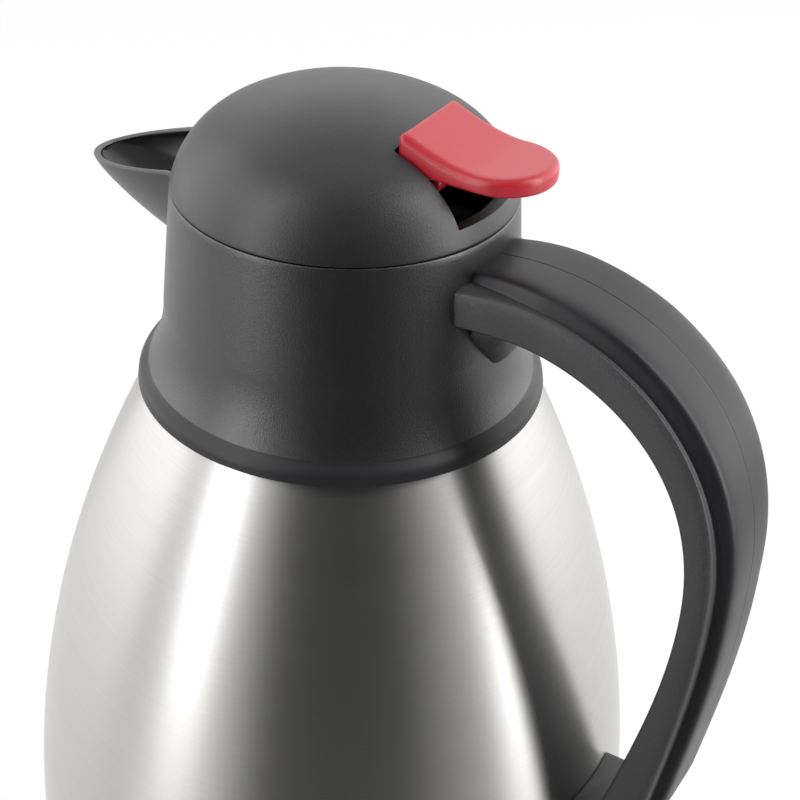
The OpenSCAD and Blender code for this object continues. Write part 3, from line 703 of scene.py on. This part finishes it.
def collar_wall():
    """The collar as one turned wall: flange, flare, wall, rim, bore, throat, and the seat on the steel."""
    foot = [(steel_contact_r(FLANGE_Z), FLANGE_Z), (FLANGE_R - 0.18, FLANGE_Z),
            (FLANGE_R - 0.04, FLANGE_Z + 0.05), (FLANGE_R, FLANGE_Z + 0.18), (FLANGE_R, FLANGE_Z + BAND_FOOT)]
    smooth = foot + flange_band()
    flare = [(collar_r(z), z) for z in span(FLANGE_Z + BAND_H + 0.15, FLARE_Z, 48)]
    wall = [(collar_r(z), z) for z in span(FLARE_Z, SEAM_Z - 0.3, 24)[1:]]
    rim = [(SEAM_R - 0.02, SEAM_Z - 0.2), (SEAM_R - 0.1, SEAM_Z - 0.06), (SEAM_R - 0.26, SEAM_Z),
           (BORE_R + 0.4, SEAM_Z), (BORE_R, SEAM_Z - 0.4)]
    inside = [(BORE_R, FLOOR_Z + 1.0), (BORE_R - 0.3, FLOOR_Z + 0.3), (BORE_R - 1.0, FLOOR_Z),
              (THROAT_R + 0.4, FLOOR_Z), (THROAT_R, FLOOR_Z - 0.4), (THROAT_R, FLOOR_Z - 18.0),
              (THROAT_R + 2.0, FLOOR_Z - 18.0), (THROAT_R + 2.0, FLOOR_Z - 2.5),
              (WAIST_R - COLLAR_WALL - 0.4, FLOOR_Z - 2.5)]
    under = [(collar_r(z) - COLLAR_WALL, z) for z in span(FLOOR_Z - 3.0, steel_z(WAIST_R) + 3.4, 10)]
    seat = [(steel_contact_r(z), z) for z in span(steel_z(WAIST_R) + 2.2, FLANGE_Z + 0.6, 12)]
    profile = smooth + flare + wall + rim + inside + under + seat
    points, faces = turned(profile, 256)
    piece = new_piece("collar_wall", points, faces, COLLAR_BLACK, "vessel", "black_plastic", ["collar"],
                      second=HANDLE_SATIN, is_second=lambda k: k % len(profile) < len(smooth) - 1)
    return cut_with(piece, *channel_cutter())


# ---------------------------------------------------------------- handle
GRIP_REACH = BODY_R + 15.83
PEAK_Z = SEAM_Z - 63.0   # where the handle stands out most
ROOT_Z = SEAM_Z - 15.9
FOOT_TOP_Z = 121.0       # level top of the foot on the steel
FOOT_BEND_Z = FOOT_TOP_Z - 15.0
FOOT_X = steel_r(104.0) - 0.6
# The handle's inner face, as three lines: for each its ends and the two points that pull it.
ROOT_LINE = [(SEAM_R - 2, ROOT_Z), (SEAM_R + 26, ROOT_Z + 3), (GRIP_REACH, PEAK_Z + 35), (GRIP_REACH, PEAK_Z)]
GRIP_LINE = [(GRIP_REACH, PEAK_Z), (GRIP_REACH, PEAK_Z - 22), (FOOT_X + 10.6, FOOT_TOP_Z + 21),
             (FOOT_X, FOOT_BEND_Z)]
FOOT_LINE = [(FOOT_X, FOOT_BEND_Z), (FOOT_X - 2.6, FOOT_TOP_Z - 24), (FOOT_X - 6.4, FOOT_TOP_Z - 31),
             (FOOT_X - 12.9, FOOT_TOP_Z - 36)]
COVE_DEPTH = 6.1         # at the peak, from the inner face
BACK_RISE = 3.0          # of the back above the cove
ROOT_NARROW = 2.0        # narrower back where it meets the collar
ROOT_FLARE = 0.9         # wider flange where it meets the collar


def cove_depth(z):
    """Distance of the cove from the inner face: more at the root and at the foot."""
    if z > PEAK_Z:
        return COVE_DEPTH + 2.7 * ((z - PEAK_Z) / (ROOT_Z - PEAK_Z)) ** 1.5
    return COVE_DEPTH + 3.1 * min(((PEAK_Z - z) / (PEAK_Z - FOOT_TOP_Z) / 0.8) ** 1.7, 1.0)


def back_rise(x, z):
    """Height of the raised back above the cove, less towards the collar."""
    rise = BACK_RISE + clamp((z - PEAK_Z) / 33)
    if z > PEAK_Z:
        rise *= clamp((x - SEAM_R + 4) / 33, 0.1, 1.0) ** 0.4
    return max(rise, 0.5)


def back_half(x, z):
    """Half the width of the raised back."""
    taper = BACK_TAPER * clamp((PEAK_Z + 32 - z) / 30)
    return (BACK_W - taper) / 2 - ROOT_NARROW * clamp((SEAM_R + 14 - x) / 16) ** 1.5


def smooth_line(points, steps):
    """A soft line through all the given points."""
    p = [Vector(points[0])] + [Vector(q) for q in points] + [Vector(points[-1])]
    line = []
    for a, b, c, d in zip(p, p[1:], p[2:], p[3:]):
        for k in range(steps):
            t = k / steps
            bend = (2 * a - 5 * b + 4 * c - d) * t * t + (3 * b - a - 3 * c + d) * t ** 3
            line.append(tuple(0.5 * (2 * b + (c - a) * t + bend)))
    return line + [tuple(points[-1])]


SECTION_STEPS = 4
COVE_POINT = 6 + 4 * SECTION_STEPS      # after the section's foot and roll: from here on it is satin


def handle_section(g, b, depth, rise):
    """Section of the handle as (aside, out): inner face, flange with a rolled edge, cove, raised back.

    g is half the width over the flanges, b half that of the back. The far half is the mirror image."""
    top = depth + rise
    foot = [(g - 0.9, 0), (g - 0.6, 0.05), (g - 0.27, 0.27), (g - 0.05, 0.6), (g, 0.9), (g, depth - 4.0)]
    roll = [(g, depth - 3.0), (g - 0.12, depth - 1.9), (g - 0.45, depth - 1.05),
            (0.6 * g + 0.4 * b, depth - 0.55)]
    cove = [(b + 0.3, depth - 0.4), (b - 0.1, depth), (b - 0.4, depth + 0.35 * rise)]
    back = [(b - 0.75, depth + 0.66 * rise), (b - 1.6, depth + 0.87 * rise), (b - 3.4, depth + 0.97 * rise),
            (b - 6.0, top)]
    half = foot + smooth_line(roll + cove + back, SECTION_STEPS) + [(2.4, top), (1.0, top), (0.4, top)]
    seam = [(PART_Y + 0.12, top), (PART_Y, top - 0.06), (PART_Y - 0.12, top)]
    return half + seam + [(-a, h) for a, h in reversed(half)]


def handle_ring(line, t):
    """The section set square to the line of the handle's inner face, at share t."""
    p = bezier(line, t)
    along = bezier_slope(line, t)
    out = Vector((-along.y, along.x))
    half_width = GRIP_W / 2 + ROOT_FLARE * clamp((52 - p.x) / 12) ** 1.3
    section = handle_section(half_width, back_half(p.x, p.y), cove_depth(p.y), back_rise(p.x, p.y))
    return [(p.x + out.x * h, a, p.y + out.y * h) for a, h in section]


def seated(p):
    """A point of the handle, moved out where it would lie in the collar's bore or in the steel."""
    x, y, z = p
    if z > FLANGE_Z + FLANGE_EDGE:
        return push_out(p, lambda h: BORE_R + 1.0)
    return push_out(p, lambda h: steel_r(h) + 0.2)


def handle_loop():
    """The grip from the collar to the steel; its back is satin, its flanges are grained."""
    rings = [handle_ring(ROOT_LINE, t ** 1.25) for t in span(0, 1, 96)]
    rings += [handle_ring(GRIP_LINE, t) for t in span(0, 1, 52)[1:]]
    rings += [handle_ring(FOOT_LINE, t) for t in span(0, 1, 26)[1:]]
    points, faces = lofted(rings)
    n = len(rings[0])
    return new_piece("handle_loop", [seated(p) for p in points], faces, HANDLE_BLACK, "vessel",
                     "black_plastic", ["handle"], second=HANDLE_SATIN,
                     is_second=lambda k: COVE_POINT <= k % n < n - 1 - COVE_POINT)


def handle_foot():
    """The core of the handle's foot: a level top with rounded edges, between the loop and the steel."""
    half = (BACK_W - BACK_TAPER) / 2
    edge = 1.3
    levels = [(FOOT_TOP_Z, edge), (FOOT_TOP_Z - 0.17 * edge, edge * 0.42),
              (FOOT_TOP_Z - 0.6 * edge, edge * 0.1)]
    levels += [(z, 0.0) for z in span(FOOT_TOP_Z - edge, FOOT_TOP_Z - 26, 12)]
    rings = []
    for z, inset in levels:
        near, far, aside = steel_r(z) - 1.5, inner_face_x(z) + 1.5, half - inset
        corners = [(near, aside, z), (near, -aside, z), (far, -aside, z), (far, aside, z)]
        rings.append(subdivided(corners, 8))
    points, faces = lofted(rings)
    return new_piece("handle_foot", [seated(p) for p in points], faces, FOOT_BLACK, "vessel", "black_plastic")


def subdivided(ring, parts):
    """The same closed ring with every side split into equal parts."""
    out = []
    for i, p in enumerate(ring):
        q = ring[(i + 1) % len(ring)]
        out += [tuple(a + (b - a) * k / parts for a, b in zip(p, q)) for k in range(parts)]
    return out


def inner_face_x(z):
    """Distance of the handle's inner face from the axis at height z below the grip."""
    line = GRIP_LINE if z > FOOT_BEND_Z else FOOT_LINE
    low, high = 0.0, 1.0
    for _ in range(30):
        middle = (low + high) / 2
        if bezier(line, middle).y > z:
            low = middle
        else:
            high = middle
    return bezier(line, low).x


def handle_lobe():
    """The pointed lobe under the handle's root: a drop between two circles, lying against the collar."""
    big, tip = 10.5, 3.6
    high, low = ROOT_Z + 0.5, ROOT_Z - 11.5
    bend_z, bend_out = ROOT_Z - 14, 3.4
    lean = math.asin((big - tip) / (high - low))
    outline = [(big * math.cos(a), high + big * math.sin(a)) for a in span(math.pi + lean, -lean, 40)]
    outline += [(tip * math.cos(a), low + tip * math.sin(a)) for a in span(-lean, -math.pi + lean, 24)]
    centre_z = high - 2.0

    def front(z):
        """Distance of the lobe's leaning face from the axis."""
        if z < bend_z:
            return SEAM_R + bend_out + 0.225 * (z - bend_z)
        return SEAM_R + min(bend_out + 0.431 * (z - bend_z), 9.0)

    def ring(inset, back):
        ring_points = []
        for y, z in outline:
            toward = Vector((-y, centre_z - z))
            step = toward.normalized() * inset if toward.length > inset else toward
            ring_points.append((front(z + step.y) - back, y + step.x, min(z + step.y, ROOT_Z + 6.0)))
        return ring_points

    rounding = [(0.0, 8.0), (0.0, 4.2), (0.2, 3.3), (0.6, 2.5), (1.2, 1.8), (1.9, 1.2), (2.7, 0.75),
                (3.6, 0.4), (4.6, 0.15), (6.0, 0.0)]
    points, faces = lofted([ring(inset, back) for inset, back in rounding])
    points = [seated(p) for p in points]
    return new_piece("handle_lobe", points, faces, HANDLE_BLACK, "vessel", "black_plastic")


# ---------------------------------------------------------------- dome
SHOULDER_R = 21.3        # round shoulder, with its centre under the seam
SHOULDER_DROP = 4.2
DOME_WALL = 2.2
SHOULDER_X = SEAM_R - math.sqrt(SHOULDER_R ** 2 - SHOULDER_DROP ** 2)
SHOULDER_Z = SEAM_Z - SHOULDER_DROP
CROWN_DROP = DOME_TOP_Z - SHOULDER_Z
CROWN_R = (SHOULDER_X ** 2 + CROWN_DROP ** 2 - SHOULDER_R ** 2) / (2 * (CROWN_DROP - SHOULDER_R))
CROWN_Z = DOME_TOP_Z - CROWN_R
BLEND = math.atan2(SHOULDER_X, SHOULDER_Z - CROWN_Z)      # where the crown's arc meets the shoulder's
LEVER_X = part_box("lever_pin")[0].x / MM - 1.9
SLOT_X = LEVER_X - 0.4
SLOT_W = LEVER_W + 1.2
SLOT_FOOT_Z = SEAM_Z + 4.1


def dome_arc(inset, foot_z, steps):
    """Outline of the dome from the top to its foot, drawn in by inset."""
    big, small = CROWN_R - inset, SHOULDER_R - inset
    end = math.acos((foot_z - SHOULDER_Z) / small)
    crown = [(big * math.sin(a), CROWN_Z + big * math.cos(a)) for a in span(0, BLEND, steps)]
    return crown + [(SHOULDER_X + small * math.sin(a), SHOULDER_Z + small * math.cos(a))
                    for a in span(BLEND, end, steps * 2)[1:]]


def dome_shell():
    """The dome with the lever's slot cut through it."""
    outer = dome_arc(0.0, DOME_FOOT_Z + 0.3, 24)
    foot_r = outer[-1][0]
    inner = dome_arc(DOME_WALL, DOME_FOOT_Z + 0.3, 24)
    rim = [(foot_r - 0.03, DOME_FOOT_Z + 0.12), (foot_r - 0.22, DOME_FOOT_Z),
           (inner[-1][0] + 0.3, DOME_FOOT_Z)]
    profile = outer + rim + list(reversed(inner))
    points, faces = turned(profile, 256)
    piece = new_piece("dome_shell", points, faces, DOME_BLACK, "stopper", "black_plastic", ["dome"])
    slot = block((SLOT_X, -SLOT_W / 2, SLOT_FOOT_Z), (SEAM_R + 9, SLOT_W / 2, DOME_TOP_Z + 9))
    return cut_with(piece, *slot)


# ---------------------------------------------------------------- lever
LEVER_T = 3.4
HUB_W = 8.8
HUB_R = 2.6
STALK_W = 5.4
DIP_RUN = 14.3           # from the pad's inner end to its lowest place, and how far the slope runs on
DIP_FLAT = 2.5
DIP_X = LEVER_X + DIP_RUN
DIP_Z = SEAM_Z + 15.6
PAD_RISE = 4.8           # of the pad's inner end over its lowest place, and of its nose
NOSE_RISE = 0.8
CORNER_R = 1.0           # of the pad's inner corners
PAD_TOP_R = 1.7          # of its edges
PAD_LOW_R = 0.9


def lever_top(x):
    """Height of the pad's face."""
    slope = PAD_RISE * clamp((DIP_X + DIP_FLAT - x) / (DIP_RUN + DIP_FLAT)) ** 1.7
    tip = NOSE_RISE * clamp((x - DIP_X) / (LEVER_REACH - DIP_X)) ** 2
    return DIP_Z + slope + tip


def lever_low(x):
    """Height of its underside, a little lower at the inner end."""
    return DIP_Z - LEVER_T - 0.6 * ease(clamp((LEVER_X + 6.5 - x) / 3.0))


def round_drop(e, r):
    """How far a rounded edge of radius r falls at a distance e from the outline."""
    e = clamp(e, 0.0, r)
    return r - math.sqrt(max(r * r - (r - e) ** 2, 0.0))


def pad_outline(half, nose_x):
    """The thumb pad from above: straight inner end, straight sides and a round nose."""
    turn = half - CORNER_R
    side = span(LEVER_X + 1.5 * CORNER_R, nose_x, 34)
    outline = [(LEVER_X, y) for y in span(-turn, turn, 26)]
    outline += [(LEVER_X + CORNER_R * (1 + math.cos(a)), turn + CORNER_R * math.sin(a))
                for a in span(math.pi, math.pi / 2, 6)[1:]]
    outline += [(x, half) for x in side]
    outline += [(nose_x + half * math.cos(a), half * math.sin(a))
                for a in span(math.pi / 2, -math.pi / 2, 64)[1:-1]]
    outline += [(x, -half) for x in reversed(side)]
    outline += [(LEVER_X + CORNER_R * (1 + math.cos(a)), CORNER_R * math.sin(a) - turn)
                for a in span(-math.pi / 2, -math.pi, 6)[:-1]]
    return outline


def lever_pad():
    """The thumb pad: spokes run from its outline to a middle line, so that every edge is evenly round."""
    half = LEVER_W / 2
    nose_x = LEVER_REACH - half
    inner_x = LEVER_X + half * 0.97
    outline = pad_outline(half, nose_x)
    insets = [0.0, 0.04, 0.15, 0.33, 0.57, 0.86, 1.2, 1.7, 2.4, 3.4, 4.6, 6.0, 7.4, 8.8, half]

    def ring(inset, upper):
        row = []
        share = inset / half
        for x, y in outline:
            at_x = x + (clamp(x, inner_x, nose_x) - x) * share
            if upper:
                z = lever_top(at_x) - round_drop(inset, PAD_TOP_R)
            else:
                z = lever_low(at_x) + round_drop(inset, PAD_LOW_R)
            row.append((at_x, y * (1 - share), z))
        return row

    rings = [ring(inset, True) for inset in reversed(insets)] + [ring(inset, False) for inset in insets]
    points, faces = lofted(rings, capped=False)
    return new_piece("lever_pad", points, faces, LEVER_RED, "lever", "red_plastic", ["lever"])


def lever_works():
    """Hub, web and fork of the lever, under its pad."""
    low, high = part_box("lever_pin")
    pin = (low + high) / 2 / MM
    hub = []
    for y in (-HUB_W / 2, -HUB_W / 2 + 0.3, HUB_W / 2 - 0.3, HUB_W / 2):
        r = HUB_R if abs(y) < HUB_W / 2 - 0.1 else HUB_R - 0.3
        round_hub = span(0, 2 * math.pi, 40)[:-1]
        hub.append([(pin.x + r * math.cos(a), y, pin.z + r * math.sin(a)) for a in round_hub])
    new_piece("lever_hub", *lofted(hub), LEVER_RED, "lever", "red_plastic")
    fork_z = SEAM_Z + 4.7
    fork_x, arm_x = -6, 12
    under = lever_low(pin.x) + 0.8
    side = [(pin.x + 0.3, pin.z, 0.5), (pin.x + 0.3, under, 0.3), (pin.x - 2, under, 0.3),
            (pin.x - 3.2, pin.z, 0.8), (arm_x, fork_z, 1.5), (0, fork_z, 1.5),
            (fork_x, fork_z - 1.8, 0.5), (fork_x, fork_z - 3.2, 0.5), (arm_x, fork_z - 3.6, 1.5),
            (pin.x - 2, pin.z - 2.4, 0.6), (pin.x, pin.z - 3.1, 0.4)]
    outline = fillet(side, 3)
    rings = [[(x, y, z) for x, z in outline] for y in (-STALK_W / 2, STALK_W / 2)]
    web = new_piece("lever_web", *lofted(rings), LEVER_RED, "lever", "red_plastic")
    return cut_with(web, *block((fork_x - 2, -3.4, fork_z - 6), (4.5, 3.4, fork_z + 6)))


def return_spring():
    """The valve's spring as a piece of its own, with its own mesh."""
    coil = nodes["valve_spring"]
    points = [tuple(coil.matrix_world @ v.co / MM) for v in coil.data.vertices]
    faces = [tuple(face.vertices) for face in coil.data.polygons]
    piece = new_piece("return_spring", points, faces, SCREW_STEEL, "stopper", "screw_steel", ["valve_spring"])
    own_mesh(piece)


steel_wall()
collar_wall()
spout()
handle_loop()
handle_foot()
handle_lobe()
dome_shell()
lever_pad()
lever_works()
return_spring()


# ---------------------------------------------------------------- camera
CAMERA_TURN = 32.0       # of the photograph's view about the vertical axis
CAMERA_SIDE = CAMERA_TURN - 90.0
LENS_MM = 78.9


def photo_camera():
    """The photograph's camera, worked out from the seam's ellipse: from above, at the left of the handle."""
    place = Vector((0.0, -8.99712, 4.49825)) * (SEAM_R * MM)
    right = Vector((0.9991876, -0.01579401, 0.03707682))
    down = Vector((0.02215061, -0.55334862, -0.83265519))
    forward = Vector((0.03366737, 0.83280001, -0.55254923))
    spin = Matrix.Rotation(math.radians(CAMERA_TURN), 3, "Z")
    axes = Matrix((spin @ right, spin @ -down, spin @ -forward)).transposed()
    data = bpy.data.cameras.new("camera")
    data.sensor_width = 36.0
    data.lens = LENS_MM
    data.clip_start = 0.01
    camera = bpy.data.objects.new("camera", data)
    bpy.context.scene.collection.objects.link(camera)
    camera.matrix_world = Matrix.Translation(spin @ place + Vector((0, 0, SEAM_Z * MM))) @ axes.to_4x4()
    bpy.context.scene.camera = camera


photo_camera()


# ---------------------------------------------------------------- studio
FLOOR_SIZE = 8.0
MIDDLE = Vector((0, 0, 0.17))


def stage_material(name):
    """An empty material for the stage, and the hand that wires it."""
    m = bpy.data.materials.new(name)
    m.use_nodes = True
    m.node_tree.nodes.clear()
    return m, Shader(m.node_tree)


def seen_rays(s):
    """1 for the rays that show a surface as it looks, 0 for those that gather its light."""
    path = s.node("ShaderNodeLightPath").outputs
    direct = s.math("MAXIMUM", path["Is Camera Ray"], path["Is Glossy Ray"])
    return s.math("MAXIMUM", direct, path["Is Transmission Ray"])


def pale_floor():
    """A plain floor that shows nearly white and keeps the object's shadow."""
    m, s = stage_material("pale floor")
    paint = s.node("ShaderNodeBsdfDiffuse")
    paint.inputs["Color"].default_value = (0.86, 0.86, 0.86, 1)
    glow = s.node("ShaderNodeEmission")
    glow.inputs["Strength"].default_value = 1.0
    mix = s.node("ShaderNodeMixShader")
    s.link(s.math("MULTIPLY", seen_rays(s), 0.9), mix.inputs[0])
    s.link(paint.outputs[0], mix.inputs[1])
    s.link(glow.outputs[0], mix.inputs[2])
    s.link(mix.outputs[0], s.node("ShaderNodeOutputMaterial").inputs["Surface"])
    h = FLOOR_SIZE / 2
    mesh = bpy.data.meshes.new("floor")
    mesh.from_pydata([(-h, -h, 0), (h, -h, 0), (h, h, 0), (-h, h, 0)], [], [(0, 1, 2, 3)])
    floor = bpy.data.objects.new("floor", mesh)
    bpy.context.scene.collection.objects.link(floor)
    floor.data.materials.append(m)


def white_room():
    """Plain world: white in reflections, softer as light."""
    world = bpy.data.worlds.new("studio")
    world.use_nodes = True
    world.node_tree.nodes.clear()
    bpy.context.scene.world = world
    s = Shader(world.node_tree)
    back = s.node("ShaderNodeBackground")
    back.inputs["Color"].default_value = (1, 1, 1, 1)
    s.link(s.spread(seen_rays(s), 0.0, 1.0, 0.4, 1.0), back.inputs["Strength"])
    s.link(back.outputs[0], s.node("ShaderNodeOutputWorld").inputs["Surface"])


def dark_sweep():
    """A dark, faintly glowing sweep in front of the object, which only its reflections show: painted
    reflections of the studio's dark side.
    """
    profile = [(0.085, 0.0005), (0.55, 0.0005), (0.62, 0.06), (0.62, 0.7), (0.5, 1.0), (0.3, 1.2)]
    left_end, right_end = -44.0, 62.0
    turns = span(left_end, right_end, 60)
    points = [(r * math.cos(math.radians(CAMERA_SIDE + a)), r * math.sin(math.radians(CAMERA_SIDE + a)), z)
              for a in turns for r, z in profile]
    n = len(profile)
    faces = [(k * n + i, k * n + i + 1, (k + 1) * n + i + 1, (k + 1) * n + i)
             for k in range(len(turns) - 1) for i in range(n - 1)]
    mesh = bpy.data.meshes.new("dark sweep")
    mesh.from_pydata(points, [], faces)
    sweep = bpy.data.objects.new("dark_sweep", mesh)
    bpy.context.scene.collection.objects.link(sweep)
    for ray in ("camera", "diffuse", "transmission", "volume_scatter", "shadow"):
        setattr(sweep, "visible_" + ray, False)
    m, s = stage_material("painted reflection glow")
    turned_back = s.node("ShaderNodeVectorRotate", rotation_type="Z_AXIS")
    s.link(s.node("ShaderNodeTexCoord").outputs["Object"], turned_back.inputs["Vector"])
    turned_back.inputs["Angle"].default_value = -math.radians(CAMERA_SIDE)
    parts = s.node("ShaderNodeSeparateXYZ")
    s.link(turned_back.outputs[0], parts.inputs[0])
    # Painted reflection: the sheet glows brighter towards its ends, by the angle from the camera's side, and
    # close to the floor.
    side = s.math("MULTIPLY", s.math("ARCTAN2", parts.outputs["Y"], parts.outputs["X"]), 180 / math.pi)
    left = s.spread(side, left_end, -24.0, 0.9, 0.0)
    right = s.spread(side, 26.0, 44.0, 0.0, 0.3)
    far_right = s.spread(side, 56.0, right_end, 0.0, 0.6)
    # The sheet glows though it is no lamp: what it shows in the steel and plastics are painted reflections of
    # the surroundings.
    reflection_glow = s.node("ShaderNodeEmission")
    low = s.spread(parts.outputs["Z"], 0.0, 0.05, 0.14, 0.04)
    s.link(s.math("ADD", s.math("ADD", left, right), s.math("ADD", far_right, low)), reflection_glow.inputs["Strength"])
    s.link(reflection_glow.outputs[0], s.node("ShaderNodeOutputMaterial").inputs["Surface"])
    sweep.data.materials.append(m)


def soft_light(name, side, high, away, wide, tall, power, lean=0.0):
    """A softbox aimed at the middle, by its angles to the right of the camera and up, and its distance."""
    a, e = math.radians(CAMERA_SIDE + side), math.radians(high)
    place = MIDDLE + Vector((math.cos(a) * math.cos(e), math.sin(a) * math.cos(e), math.sin(e))) * away
    data = bpy.data.lights.new(name, "AREA")
    data.shape = "RECTANGLE"
    data.size = wide
    data.size_y = tall
    data.energy = power
    lamp = bpy.data.objects.new(name, data)
    bpy.context.scene.collection.objects.link(lamp)
    facing = (place - MIDDLE).to_track_quat("Z", "Y").to_matrix().to_4x4()
    lamp.matrix_world = Matrix.Translation(place) @ facing @ Matrix.Rotation(math.radians(lean), 4, "Z")
    lamp.visible_camera = False


def studio():
    """Pale floor, white world, a glowing sweep that only reflections show (painted reflections), two strips,
    and softboxes at both sides and behind.
    """
    pale_floor()
    white_room()
    dark_sweep()
    soft_light("left strip", -57, 25, 0.7, 0.2, 1.0, 3.0, lean=5.0)
    soft_light("right strip", 69, 25, 0.7, 0.13, 1.0, 4.8)
    soft_light("left softbox", -108, 20, 0.9, 0.9, 1.1, 5.3)
    soft_light("right softbox", 116, 20, 0.9, 0.9, 1.1, 5.6)
    soft_light("back softbox", 180, 38, 1.1, 1.0, 0.8, 2.6)


studio()
bpy.context.scene.view_settings.view_transform = "Standard"
